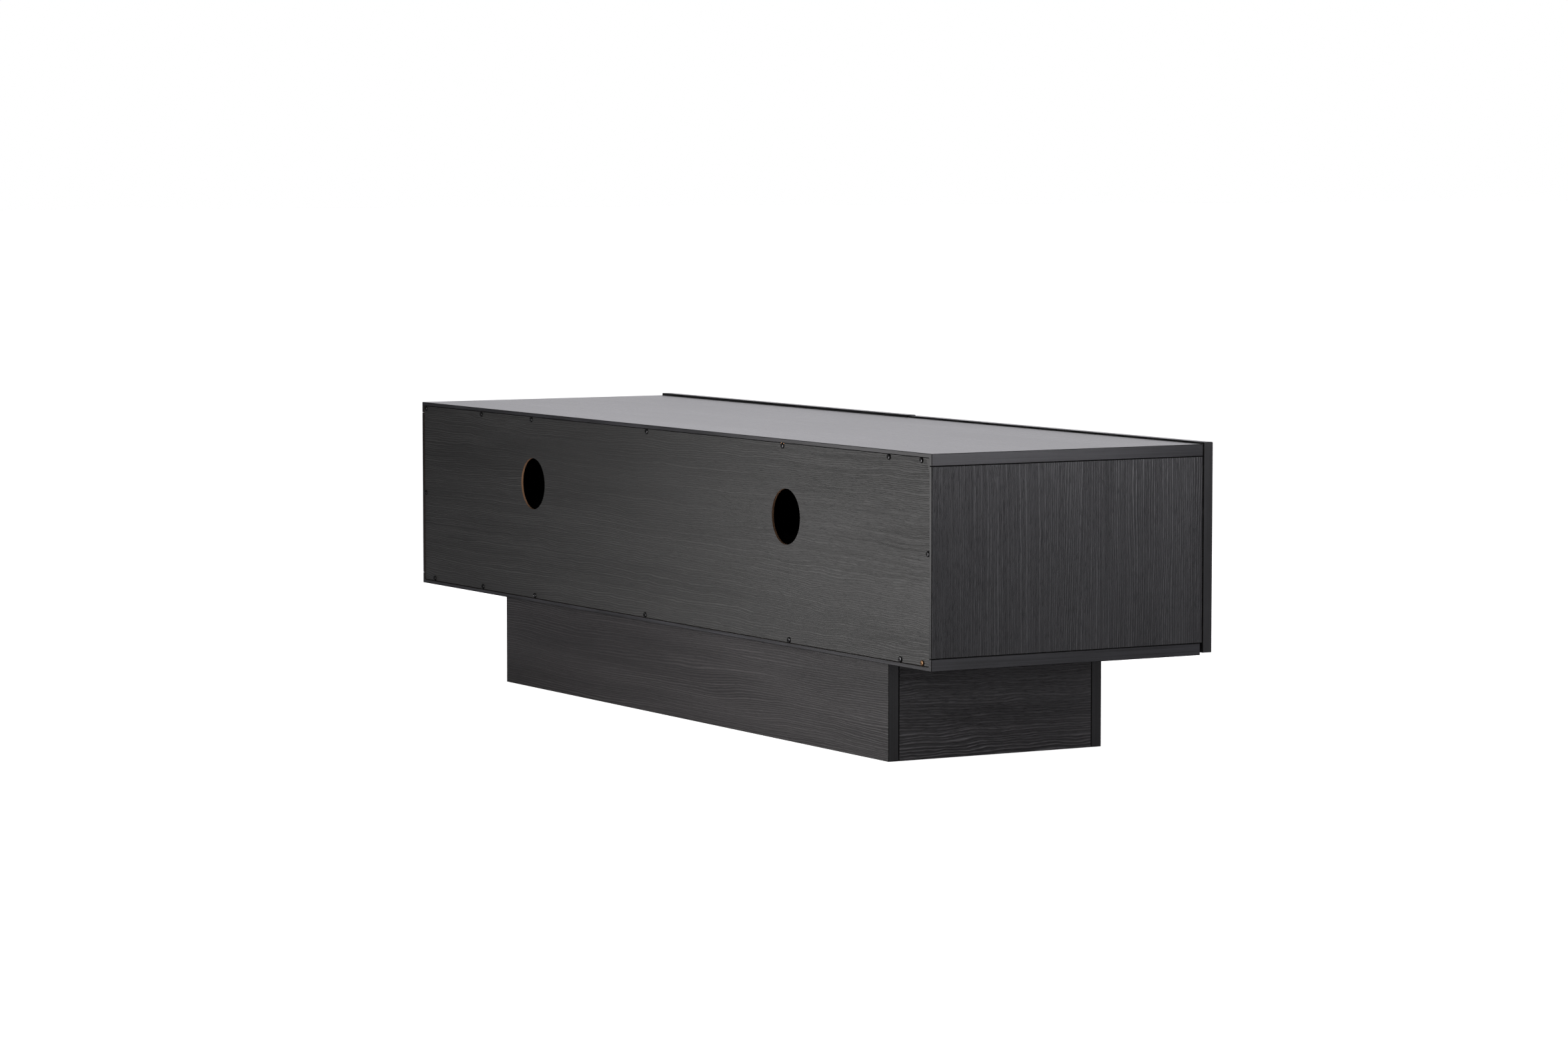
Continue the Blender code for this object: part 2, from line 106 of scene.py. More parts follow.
class CabinetShape(bpy.types.PropertyGroup):
    """Sizes of the small shapes that the boards and fittings have."""

    edge_round: FloatProperty(
        name="Edge rounding",
        description="Radius of the carcass, plinth and drawer board edges",
        default=0.0007,
        unit="LENGTH",
    )
    front_round: FloatProperty(
        name="Front edge rounding",
        description="Radius of the drawer front edges",
        default=0.001,
        unit="LENGTH",
    )
    lip: FloatProperty(
        name="Back lip",
        description="Width of the carcass edge left showing round the back panel",
        default=0.005,
        unit="LENGTH",
    )
    rebate_corner: FloatProperty(
        name="Rebate corner radius",
        description="Radius that the cutter leaves in the corners of the back rebate",
        default=0.004,
        unit="LENGTH",
    )
    hole_radius: FloatProperty(
        name="Cable hole radius",
        description="Radius of the two round holes in the back panel",
        default=0.038,
        unit="LENGTH",
    )
    hole_drop: FloatProperty(
        name="Cable hole drop",
        description="Depth of the cable hole centres below the top surface",
        default=0.1048,
        unit="LENGTH",
    )
    screw_radius: FloatProperty(
        name="Screw head radius",
        description="Radius of the pan heads round the back panel",
        default=0.00395,
        unit="LENGTH",
    )
    cam_radius: FloatProperty(
        name="Cam radius",
        description="Radius of the cam discs let into the side panels and the partition",
        default=0.0075,
        unit="LENGTH",
    )
    balls_per_row: IntProperty(
        name="Balls in a row",
        description="Number of steel balls in each row of a runner's cage",
        default=12,
    )


class CabinetFinish(bpy.types.PropertyGroup):
    """Colours and grain of the finishes."""

    foil_ground: FloatVectorProperty(
        name="Foil ground colour",
        description="Colour of the black foil between the grain's ridges",
        subtype="COLOR",
        default=(0.009, 0.009, 0.010),
    )
    foil_ridge: FloatVectorProperty(
        name="Foil ridge colour",
        description="Colour of the black foil's raised grain",
        subtype="COLOR",
        default=(0.075, 0.075, 0.078),
    )
    # The plinth foil is set lighter than the carcass foil: painted light in place of light bounced up from
    # the floor.
    plinth_ground_with_painted_bounce: FloatVectorProperty(
        name="Plinth ground colour",
        description="Colour of the plinth foil between the grain's ridges",
        subtype="COLOR",
        default=(0.015, 0.014, 0.015),
    )
    plinth_ridge_with_painted_bounce: FloatVectorProperty(
        name="Plinth ridge colour",
        description="Colour of the plinth foil's raised grain",
        subtype="COLOR",
        default=(0.085, 0.080, 0.082),
    )
    sheet_ground: FloatVectorProperty(
        name="Back sheet ground colour",
        description="Colour of the back sheet between the grain's ridges",
        subtype="COLOR",
        default=(0.017, 0.017, 0.017),
    )
    sheet_ridge: FloatVectorProperty(
        name="Back sheet ridge colour",
        description="Colour of the back sheet's raised grain",
        subtype="COLOR",
        default=(0.050, 0.050, 0.049),
    )
    drawer_ground: FloatVectorProperty(
        name="Drawer ground colour",
        description="Colour of the drawer boxes between the grain's ridges",
        subtype="COLOR",
        default=(0.030, 0.030, 0.031),
    )
    drawer_ridge: FloatVectorProperty(
        name="Drawer ridge colour",
        description="Colour of the drawer boxes' raised grain",
        subtype="COLOR",
        default=(0.090, 0.090, 0.092),
    )
    wood_light: FloatVectorProperty(
        name="Light wood colour",
        description="Colour of the early wood of the plinth's inner blocks",
        subtype="COLOR",
        default=(0.50, 0.34, 0.19),
    )
    wood_dark: FloatVectorProperty(
        name="Dark wood colour",
        description="Colour of the late wood of the plinth's inner blocks",
        subtype="COLOR",
        default=(0.30, 0.17, 0.08),
    )
    grain_pitch: FloatProperty(
        name="Grain pitch",
        description="Usual distance from one groove of the embossed grain to the next",
        default=0.0031,
        unit="LENGTH",
    )
    grain_depth: FloatProperty(
        name="Grain depth",
        description="Depth of the embossed grooves",
        default=0.00035,
        unit="LENGTH",
    )


class CabinetStage(bpy.types.PropertyGroup):
    """Camera and light of the studio."""

    lens: FloatProperty(
        name="Lens",
        description="Focal length of the camera in millimetres, on a 36 mm sensor",
        default=110.03,
    )
    camera_offset: FloatVectorProperty(
        name="Camera offset",
        description="Camera position from the top left back corner of the carcass",
        subtype="TRANSLATION",
        unit="LENGTH",
        default=(-5.205, 3.2208, 0.3804),
    )
    camera_aim: FloatVectorProperty(
        name="Camera aim",
        description="Direction that the camera looks in",
        subtype="DIRECTION",
        default=(0.86367, -0.49823, -0.07642),
    )
    world_light: FloatProperty(
        name="World light",
        description="Strength of the glows in the surroundings",
        default=1.0,
    )
    haze: FloatProperty(
        name="Haze",
        description="Even light from all sides",
        default=0.10,
    )
    lamp_light: FloatProperty(
        name="Lamp light",
        description="Strength of all softboxes together",
        default=1.0,
    )
    floor_shade: FloatProperty(
        name="Floor shade",
        description="How pale the floor is, from 0 to 1",
        default=0.80,
    )
    floor_glow: FloatProperty(
        name="Floor glow",
        description="Light of its own that keeps the floor pale",
        default=0.96,
    )
    reflected_floor_shade: FloatProperty(
        name="Reflected floor shade",
        description="How pale the floor is in reflections, from 0 to 1",
        default=0.35,
    )


# Shader helpers


def add(tree, kind, settings=None, **inputs):
    """Add a shader node. An input is named as on the node, with _ for a space, or by its place as i0, i1."""
    node = tree.nodes.new("ShaderNode" + kind)
    for key, value in (settings or {}).items():
        setattr(node, key, value)
    for key, value in inputs.items():
        numbered = key[0] == "i" and key[1:].isdigit()
        socket = node.inputs[int(key[1:])] if numbered else node.inputs[key.replace("_", " ")]
        if isinstance(value, bpy.types.NodeSocket):
            tree.links.new(value, socket)
        else:
            socket.default_value = value
    return node


def calc(tree, operation, *values):
    """The result of a Math node."""
    inputs = {f"i{place}": value for place, value in enumerate(values)}
    return add(tree, "Math", {"operation": operation}, **inputs).outputs[0]


def noise(tree, vector, detail=2.0, roughness=0.5):
    """A noise from 0 to 1, one unit to a blob."""
    node = add(tree, "TexNoise", Vector=vector, Scale=1.0, Detail=detail, Roughness=roughness)
    return node.outputs[0]


def ramp(tree, value, low, high, out_low=0.0, out_high=1.0):
    """Map low..high to out_low..out_high with a soft start and end."""
    soft = {"interpolation_type": "SMOOTHSTEP"}
    return add(tree, "MapRange", soft, i0=value, i1=low, i2=high, i3=out_low, i4=out_high).outputs[0]


def bearing(azimuth, elevation):
    """Unit vector towards a compass bearing and a height, both in degrees."""
    flat = math.cos(math.radians(elevation))
    around = math.radians(azimuth)
    return Vector((flat * math.cos(around), flat * math.sin(around), math.sin(math.radians(elevation))))


def blend_colours(tree, factor, low, high):
    """A colour between low and high, as factor goes from 0 to 1."""
    node = add(tree, "Mix", {"data_type": "RGBA"}, i0=factor, i6=(*low, 1.0), i7=(*high, 1.0))
    return node.outputs[2]


def new_material(name, roughness, metallic=0.0, specular=0.5):
    material = bpy.data.materials.new(name)
    material.use_nodes = True
    tree = material.node_tree
    shader = tree.nodes["Principled BSDF"]
    shader.inputs["Roughness"].default_value = roughness
    shader.inputs["Metallic"].default_value = metallic
    shader.inputs["Specular IOR Level"].default_value = specular
    return material, tree, shader


def position(tree):
    """Place on the piece, in metres."""
    return tree.nodes.new("ShaderNodeTexCoord").outputs["Object"]


def piece_axes(tree):
    """The three parts of a place on the piece, in metres."""
    return add(tree, "SeparateXYZ", i0=position(tree)).outputs


def spots(tree, scale, detail):
    """A noise that is the same in all directions."""
    return add(tree, "TexNoise", Vector=position(tree), Scale=scale, Detail=detail).outputs[0]


def dress(tree, shader, tint=None, rough=None, relief=None):
    """Link a finish's colour, roughness and relief (height, strength, depth) to its shader."""
    if tint is not None:
        tree.links.new(tint, shader.inputs["Base Color"])
    if rough is not None:
        tree.links.new(rough, shader.inputs["Roughness"])
    if relief is not None:
        height, strength, depth = relief
        bump = add(tree, "Bump", Strength=strength, Distance=depth, Height=height)
        tree.links.new(bump.outputs[0], shader.inputs["Normal"])


def stretched(tree, along, across, seed, along_scale, across_scale):
    """A vector that runs slowly along the grain and fast across it."""
    scaled_along = calc(tree, "MULTIPLY", along, along_scale)
    scaled_across = calc(tree, "MULTIPLY", across, across_scale)
    return add(tree, "CombineXYZ", i0=scaled_along, i1=scaled_across, i2=seed).outputs[0]


# Finishes


def grain_lines(tree, along, across, seed, look):
    """Thin ridges that follow wandering growth rings: 1 on top of a ridge, 0 on the ground between."""
    drift, pitch = look["drift"], look["pitch"]
    broad = noise(tree, stretched(tree, along, across, seed, 1.6, 7.0), 1.0)
    middle = noise(tree, stretched(tree, along, across, seed + 11.3, look["waves"], 30.0), 2.0)
    fine = noise(tree, stretched(tree, along, across, seed + 23.1, 30.0, 90.0), 1.0)
    wander = calc(tree, "MULTIPLY_ADD", broad, drift, across)
    wander = calc(tree, "MULTIPLY_ADD", middle, drift * 0.28, wander)
    wander = calc(tree, "MULTIPLY_ADD", fine, 0.0012, wander)
    rings = calc(tree, "DIVIDE", wander, pitch)
    uneven = noise(tree, stretched(tree, along, rings, seed + 2.2, 1.2, 0.42), 1.0)
    phase = calc(tree, "MULTIPLY_ADD", uneven, 1.8, rings)
    wave = calc(tree, "SINE", calc(tree, "MULTIPLY", phase, 2 * math.pi))
    ridge = calc(tree, "POWER", calc(tree, "MULTIPLY_ADD", wave, 0.5, 0.5), 2.4)
    lift = noise(tree, stretched(tree, along, rings, seed + 3.7, 3.0, 0.75), 2.0)
    ridge = calc(tree, "MULTIPLY", ridge, ramp(tree, lift, 0.34, 0.62, 0.55, 1.0))
    small_wave = calc(tree, "SINE", calc(tree, "MULTIPLY", phase, 4.6 * math.pi))
    small = calc(tree, "POWER", calc(tree, "MULTIPLY_ADD", small_wave, 0.5, 0.5), 2.0)
    where = noise(tree, stretched(tree, along, across, seed + 7.9, 5.0, 30.0), 1.0)
    small = calc(tree, "MULTIPLY", small, ramp(tree, where, 0.48, 0.66, 0.0, 0.5))
    return calc(tree, "MAXIMUM", ridge, small)


def foil(name, along_axis, across_axis, seed, colours, look):
    """Black foil with embossed wood grain, as its look says."""
    material, tree, shader = new_material(name, look["roughness"], 0.0, look["specular"])
    axes = piece_axes(tree)
    along, across = axes[along_axis], axes[across_axis]
    ridges = grain_lines(tree, along, across, seed, look)
    breaks = noise(tree, stretched(tree, along, across, seed + 5.9, 22.0, 350.0), 2.0)
    ridges = calc(tree, "MULTIPLY", ridges, ramp(tree, breaks, 0.30, 0.52, 0.55, 1.0))
    patches = noise(tree, stretched(tree, along, across, seed + 8.3, 2.0, 13.0), 2.0)
    ridges = calc(tree, "MULTIPLY", ridges, ramp(tree, patches, 0.32, 0.58, 0.45, 1.0))
    pores = noise(tree, stretched(tree, along, across, seed + 9.1, 70.0, 1100.0), 1.0)
    pores = calc(tree, "MULTIPLY", ramp(tree, pores, 0.55, 0.75), look["pores"])
    height = calc(tree, "SUBTRACT", ridges, pores)
    tone = noise(tree, stretched(tree, along, across, seed + 31.0, 1.5, 22.0), 3.0)
    shade = calc(tree, "MULTIPLY", height, look["contrast"])
    shade = calc(tree, "ADD", shade, ramp(tree, tone, 0.3, 0.7, 0.0, look["cloud"]))
    rough = calc(tree, "MULTIPLY_ADD", height, -look["roughness_spread"], look["roughness"])
    dress(tree, shader, blend_colours(tree, shade, *colours), rough, (height, 1.0, look["depth"]))
    return material


def foil_look(finish, **changes):
    """Settings of a foil's grain. drift and waves say how far and how often its lines wander."""
    look = {
        "pitch": finish.grain_pitch,
        "depth": finish.grain_depth,
        "drift": 0.045,
        "waves": 5.0,
        "contrast": 0.85,
        "cloud": 0.15,
        "pores": 0.30,
        "roughness": 0.38,
        "roughness_spread": 0.10,
        "specular": 0.5,
    }
    look.update(changes)
    return look


def edge_band(name, colour, scales, roughness=0.32):
    """Smooth plastic band on a board's edge, with faint streaks. scales stretch them along the board."""
    material, tree, shader = new_material(name, roughness)
    axes = piece_axes(tree)
    scaled = [calc(tree, "MULTIPLY", axis, scale) for axis, scale in zip(axes, scales)]
    vector = add(tree, "CombineXYZ", i0=scaled[0], i1=scaled[1], i2=scaled[2]).outputs[0]
    streaks = noise(tree, vector, 3.0, 0.6)
    cloud = spots(tree, 9.0, 3.0)
    mixed = calc(tree, "MULTIPLY_ADD", cloud, 0.4, calc(tree, "MULTIPLY", streaks, 0.6))
    darker = tuple(channel * 0.45 for channel in colour)
    lighter = tuple(channel * 1.5 for channel in colour)
    tint = blend_colours(tree, ramp(tree, mixed, 0.36, 0.64), darker, lighter)
    rough = calc(tree, "MULTIPLY_ADD", streaks, 0.16, roughness - 0.08)
    dress(tree, shader, tint, rough, (streaks, 0.5, 0.00012))
    return material


def seam_with_painted_shade(name):
    """Rounded edge where foil and band meet: dark, partly as the band's own joint line and partly as painted
    shade of the gaps between boards, with a broken matt sheen.
    """
    material, tree, shader = new_material(name, 0.7, 0.0, 0.15)
    wear = spots(tree, 120.0, 3.0)
    tint = blend_colours(tree, ramp(tree, wear, 0.5, 0.8), (0.003, 0.003, 0.003), (0.020, 0.019, 0.018))
    dress(tree, shader, tint, calc(tree, "MULTIPLY_ADD", wear, 0.3, 0.5))
    return material


def chips(name, light, dark, scale):
    """Raw board core: pressed chips or fibres."""
    material, tree, shader = new_material(name, 0.85, 0.0, 0.2)
    flakes = add(tree, "TexVoronoi", Vector=position(tree), Scale=scale)
    fuzz = spots(tree, scale * 2.5, 4.0)
    mixed = calc(tree, "MULTIPLY_ADD", flakes.outputs["Distance"], 0.6, fuzz)
    tint = blend_colours(tree, ramp(tree, mixed, 0.4, 1.0), light, dark)
    dress(tree, shader, tint, relief=(mixed, 0.6, 0.0003))
    return material


def metal(name, colour, roughness, scratch_axis, wear):
    """Metal with fine rolling marks along one axis, and duller patches."""
    material, tree, shader = new_material(name, roughness, 1.0)
    axes = piece_axes(tree)
    others = [axes[axis] for axis in range(3) if axis != scratch_axis]
    scaled = [calc(tree, "MULTIPLY", axes[scratch_axis], 25.0)]
    scaled += [calc(tree, "MULTIPLY", axis, 2600.0) for axis in others]
    streak = add(tree, "CombineXYZ", i0=scaled[0], i1=scaled[1], i2=scaled[2]).outputs[0]
    marks = noise(tree, streak, 2.0)
    cloud = spots(tree, 140.0, 3.0)
    dull = tuple(channel * (1.0 - wear) for channel in colour)
    tint = blend_colours(tree, ramp(tree, cloud, 0.35, 0.70), colour, dull)
    rough = calc(tree, "MULTIPLY_ADD", marks, 0.18, roughness - 0.09)
    dress(tree, shader, tint, rough, (marks, 0.15, 0.00005))
    return material


def moulded(name, colour, roughness):
    """Moulded plastic with a fine spark-eroded texture."""
    material, tree, shader = new_material(name, roughness)
    spark, cloud = spots(tree, 1800.0, 2.0), spots(tree, 60.0, 2.0)
    darker = tuple(channel * 0.8 for channel in colour)
    tint = blend_colours(tree, ramp(tree, cloud, 0.35, 0.65), colour, darker)
    dress(tree, shader, tint, relief=(spark, 0.3, 0.00008))
    return material


# Mesh helpers


def bevel_all(bm, width, segments=3):
    """Round every edge of a closed shape."""
    bmesh.ops.bevel(
        bm,
        geom=bm.edges[:],
        offset=width,
        offset_type="OFFSET",
        segments=segments,
        profile=0.5,
        affect="EDGES",
        material=-1,
    )


def board_between(low, high, edge, segments=3):
    """A board with rounded edges between two corners."""
    bm = bmesh.new()
    size = Matrix.Diagonal((*(high - low), 1.0))
    bmesh.ops.create_cube(bm, size=1.0, matrix=Matrix.Translation((low + high) / 2) @ size)
    if edge:
        bevel_all(bm, edge, segments)
    return bm


def sort_faces(bm, band_axes):
    """Slots of a board: its faces, its banded edges (they look along band_axes), and the rounding between."""
    bm.normal_update()
    for face in bm.faces:
        steepest = max(range(3), key=lambda axis: abs(face.normal[axis]))
        if abs(face.normal[steepest]) < 0.99:
            face.material_index = SEAM_AND_SHADE
        else:
            face.material_index = BAND if steepest in band_axes else FACE


def mesh_object(name, bm, materials):
    """Turn a bmesh into an object in the scene."""
    mesh = bpy.data.meshes.new(name)
    bm.to_mesh(mesh)
    bm.free()
    for material in materials:
        mesh.materials.append(material)
    obj = bpy.data.objects.new(name, mesh)
    bpy.context.scene.collection.objects.link(obj)
    return obj


def subtract(obj, cutter_bm, slot=0):
    """Cut a closed shape out of a piece. The new walls take the piece's material in that slot."""
    for face in cutter_bm.faces:
        face.material_index = slot
    tool = mesh_object("cutting_tool", cutter_bm, obj.data.materials)
    modifier = obj.modifiers.new("cut", "BOOLEAN")
    modifier.operation = "DIFFERENCE"
    modifier.solver = "EXACT"
    modifier.object = tool
    bpy.context.view_layer.update()
    graph = bpy.context.evaluated_depsgraph_get()
    finished = bpy.data.meshes.new_from_object(obj.evaluated_get(graph))
    obj.modifiers.clear()
    finished.name = obj.name
    obj.data = finished
    bpy.data.objects.remove(tool, do_unlink=True)


def cut_groove(obj, sheet_node):
    """Cut the groove that a drawer's bottom sheet lies in."""
    low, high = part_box(sheet_node)
    fit = Vector((GROOVE_FIT, GROOVE_FIT, GROOVE_FIT))
    subtract(obj, board_between(low - fit, high + fit, 0.0), RAW)


def set_in_frame(obj, body, replaced=(), smooth_angle=None):
    """Let a finished piece ride on its body, in place of the CAD nodes that it stands for."""
    if smooth_angle:
        obj.data.shade_smooth()
        obj.data.set_sharp_from_angle(angle=math.radians(smooth_angle))
    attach(obj, body)
    if replaced:
        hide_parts(*replaced)
    return obj


def rod(radius, facets, start, end):
    """A closed rod between two points."""
    start, end = Vector(start), Vector(end)
    along = end - start
    turn = Vector((0, 0, 1)).rotation_difference(along).to_matrix().to_4x4()
    bm = bmesh.new()
    bmesh.ops.create_cone(
        bm,
        cap_ends=True,
        segments=facets,
        radius1=radius,
        radius2=radius,
        depth=along.length,
        matrix=Matrix.Translation((start + end) / 2) @ turn,
    )
    return bm


def merge_into(bm, other, matrix=None):
    """Copy another bmesh's geometry into bm."""
    if matrix is not None:
        bmesh.ops.transform(other, matrix=matrix, verts=other.verts)
    mesh = bpy.data.meshes.new("passing")
    other.to_mesh(mesh)
    other.free()
    bm.from_mesh(mesh)
    bpy.data.meshes.remove(mesh)


def extrude_ring(points, shift):
    """Extrude a closed flat ring of points by a vector into a closed solid."""
    bm = bmesh.new()
    face = bm.faces.new([bm.verts.new(point) for point in points])
    grown = bmesh.ops.extrude_face_region(bm, geom=[face])["geom"]
    moved = [item for item in grown if isinstance(item, bmesh.types.BMVert)]
    bmesh.ops.translate(bm, verts=moved, vec=shift)
    bmesh.ops.recalc_face_normals(bm, faces=bm.faces)
    return bm


def rounded_rectangle(low, high, y, radius, steps=10):
    """Corner points of an upright rectangle with round corners, at one y."""
    corners = (
        (high.x - radius, high.z - radius, 0),
        (low.x + radius, high.z - radius, 90),
        (low.x + radius, low.z + radius, 180),
        (high.x - radius, low.z + radius, 270),
    )
    points = []
    for x, z, start in corners:
        for step in range(steps + 1):
            angle = math.radians(start + 90 * step / steps)
            points.append((x + radius * math.cos(angle), y, z + radius * math.sin(angle)))
    return points


def place_copy(master, name, seat, axis, turn, material, body, replaced=()):
    """Set a copy of a master piece on its seat, with its head looking along axis."""
    facing = Vector((0, 1, 0)).rotation_difference(axis).to_matrix().to_4x4()
    spin = Matrix.Rotation(math.radians(turn), 4, "Y")
    mesh = master.data.copy()
    mesh.name = name
    mesh.transform(Matrix.Translation(seat) @ facing @ spin)
    mesh.materials.clear()
    mesh.materials.append(material)
    obj = bpy.data.objects.new(name, mesh)
    bpy.context.scene.collection.objects.link(obj)
    return set_in_frame(obj, body, replaced, 35)


def carcass_box():
    """Lowest and highest corner of the four outer carcass boards together."""
    low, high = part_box("top_panel")
    return Vector((low.x, low.y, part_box("bottom_panel")[0].z)), high


# Pieces


def back_rebate(shape):
    """The recess that takes the back panel, as a cutting shape."""
    low, high = carcass_box()
    inner_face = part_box("back_panel")[0].y - REBATE_FIT
    lip = Vector((shape.lip, 0, shape.lip))
    ring = rounded_rectangle(low + lip, high - lip, inner_face, shape.rebate_corner)
    return extrude_ring(ring, Vector((0, 0.03, 0)))


class CABINET_OT_carcass(bpy.types.Operator):
    """Build the top, bottom and side panels, each with banded edges and the rebate for the back"""

    bl_idname = "cabinet.carcass"
    bl_label = "Carcass boards"

    def execute(self, context):
        shape, finish = context.scene.cabinet_shape, context.scene.cabinet_finish
        colours = (finish.foil_ground, finish.foil_ridge)
        flat_band = edge_band("flat_board_band", (0.020, 0.020, 0.023), (4.0, 4.0, 700.0))
        upright_band = edge_band("upright_board_band", (0.020, 0.020, 0.022), (700.0, 700.0, 4.0))
        seam_and_painted_shade = seam_with_painted_shade("carcass_seam_and_shade")
        # The carcass core shows only in the rebate walls, and is near-black as painted shade in the rebate.
        core = chips("rebate_core_painted_shade", (0.050, 0.032, 0.022), (0.016, 0.011, 0.008), 700.0)
        top_look = foil_look(
            finish, contrast=0.35, depth=finish.grain_depth * 0.15, roughness=0.30, roughness_spread=0.05
        )
        side_look = foil_look(finish, drift=0.030)
        faces = {
            "top_panel": ((0, 1), foil("satin_top_foil", 0, 1, 2.0, colours, top_look), "top_foil"),
            "bottom_panel": ((0, 1), foil("bottom_foil", 0, 1, 5.0, colours, foil_look(finish)), None),
            "side_panel_left": ((1, 2), foil("left_side_foil", 2, 1, 8.0, colours, side_look), None),
            "side_panel_right": ((1, 2), foil("right_side_foil", 2, 1, 13.0, colours, side_look), None),
        }
        for node, (band_axes, face, slot) in faces.items():
            bm = board_between(*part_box(node), shape.edge_round)
            sort_faces(bm, band_axes)
            band = upright_band if "side" in node else flat_band
            obj = mesh_object(node + "_board", bm, (face, band, core, seam_and_painted_shade))
            subtract(obj, back_rebate(shape), RAW)
            set_in_frame(obj, "cabinet", (node,))
        return {"FINISHED"}


class CABINET_OT_back_panel(bpy.types.Operator):
    """Build the thin back sheet, dark at its edge as painted shade of the gap in the rebate, and raw inside,
    with its two round cable holes
    """

    bl_idname = "cabinet.back_panel"
    bl_label = "Back panel"

    def execute(self, context):
        shape, finish = context.scene.cabinet_shape, context.scene.cabinet_finish
        low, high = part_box("back_panel")
        ring = rounded_rectangle(low, high, low.y, shape.rebate_corner)
        bm = extrude_ring(ring, Vector((0, high.y - low.y, 0)))
        bevel_all(bm, SHEET_CHAMFER, 1)
        bm.normal_update()
        for face in bm.faces:
            upright = abs(face.normal.y) > 0.9
            side = SHEET_FACE if face.normal.y > 0 else SHEET_RAW
            face.material_index = side if upright else SHEET_SHADED_EDGE
        depth = finish.grain_depth * 0.8
        look = foil_look(finish, pitch=0.0027, contrast=0.9, depth=depth, drift=0.034, waves=13.0, cloud=0.1)
        colours = (finish.sheet_ground, finish.sheet_ridge)
        sheet = foil("back_sheet_foil", 0, 2, 17.0, colours, look)
        raw = chips("raw_hardboard", (0.34, 0.20, 0.12), (0.17, 0.09, 0.05), 2500.0)
        # The sheet's rim takes the near-black seam finish in place of raw hardboard: painted shade of the gap
        # in the rebate.
        obj = mesh_object("back_sheet", bm, (sheet, seam_with_painted_shade("back_sheet_edge_painted_shade"), raw))
        corner = carcass_box()[1]
        for _, sign in SIDES:
            start = Vector((sign * corner.x / 2, low.y - 0.02, corner.z - shape.hole_drop))
            subtract(obj, rod(shape.hole_radius, 96, start, start + Vector((0, 0.05, 0))), SHEET_RAW)
        set_in_frame(obj, "cabinet", ("back_panel",), 25)
        return {"FINISHED"}


def turned(profile, facets):
    """A solid turned round the Y axis from (radius, y) points."""
    bm = bmesh.new()
    verts = [bm.verts.new((radius, y, 0)) for radius, y in profile]
    edges = [bm.edges.new(pair) for pair in zip(verts, verts[1:])]
    bmesh.ops.spin(
        bm,
        geom=verts + edges,
        cent=(0, 0, 0),
        axis=(0, 1, 0),
        angle=2 * math.pi,
        steps=facets,
        use_merge=True,
    )
    bmesh.ops.remove_doubles(bm, verts=bm.verts, dist=1e-6)
    bmesh.ops.recalc_face_normals(bm, faces=bm.faces)
    return bm


def pan_head_screw(head_radius, head_height, shank_radius, length):
    """A pan-head screw. Its seat is at the origin and its head at +Y."""
    curve = arc((0, 0), 1, 0, 90)
    dome = [(head_radius * (0.35 + 0.65 * x), head_height * (0.28 + 0.72 * y)) for y, x in curve]
    profile = [(0, head_height), *dome, (head_radius, 0.0001), (head_radius * 0.97, 0)]
    profile += [(shank_radius, 0), (shank_radius, -length + 2 * shank_radius), (0, -length)]
    return turned(profile, 40)


def cross_recess(reach, width, top, depth):
    """A cross-shaped punch that narrows towards its tip, along Y."""
    ring = []
    for quarter in range(4):
        angle = math.radians(90 * quarter)
        along = Vector((math.cos(angle), 0, math.sin(angle)))
        across = Vector((-math.sin(angle), 0, math.cos(angle)))
        for reach_out, reach_aside in ((reach, -width), (reach, width), (width, width)):
            ring.append(along * reach_out + across * reach_aside + Vector((0, top, 0)))
    bm = extrude_ring(ring, Vector((0, -depth, 0)))
    tip = [vert for vert in bm.verts if vert.co.y < top - depth / 2]
    bmesh.ops.scale(bm, vec=(0.45, 1, 0.45), verts=tip)
    return bm


class CABINET_OT_back_marks(bpy.types.Operator):
    """Build the smooth patch in the back panel's upper left corner, and the wood chips at one screw"""

    bl_idname = "cabinet.back_marks"
    bl_label = "Marks on the back"

    def execute(self, context):
        low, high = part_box("back_panel")
        film = edge_band("smooth_patch_film", (0.013, 0.013, 0.013), (60.0, 60.0, 60.0), 0.36)
        corner = Vector((low.x + 0.0004, high.y - 0.0001, high.z - 0.0012))
        ring = [corner, corner + Vector((PATCH_WIDTH, 0, 0)), corner + Vector((0, 0, -PATCH_HEIGHT))]
        bm = extrude_ring(ring, Vector((0, PATCH_THICKNESS, 0)))
        bevel_all(bm, 0.0001, 2)
        set_in_frame(mesh_object("corner_patch", bm, (film,)), "cabinet")
        wood = chips("torn_chip_wood", (0.62, 0.36, 0.20), (0.40, 0.20, 0.10), 2500.0)
        centre = sum(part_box(CHIPPED_SCREW), Vector()) / 2
        bm = bmesh.new()
        for aside, rise, turn in CHIPS_AT_SCREW:
            place = Matrix.Translation((centre.x + aside, high.y + 0.0002, centre.z + rise))
            tilt = Matrix.Rotation(math.radians(turn), 4, "Y")
            size = Matrix.Diagonal((*CHIP_HALF_SIZE, 1.0))
            bmesh.ops.create_icosphere(bm, subdivisions=2, radius=1.0, matrix=place @ tilt @ size)
        set_in_frame(mesh_object("wood_chips", bm, (wood,)), "cabinet", (), 20)
        return {"FINISHED"}


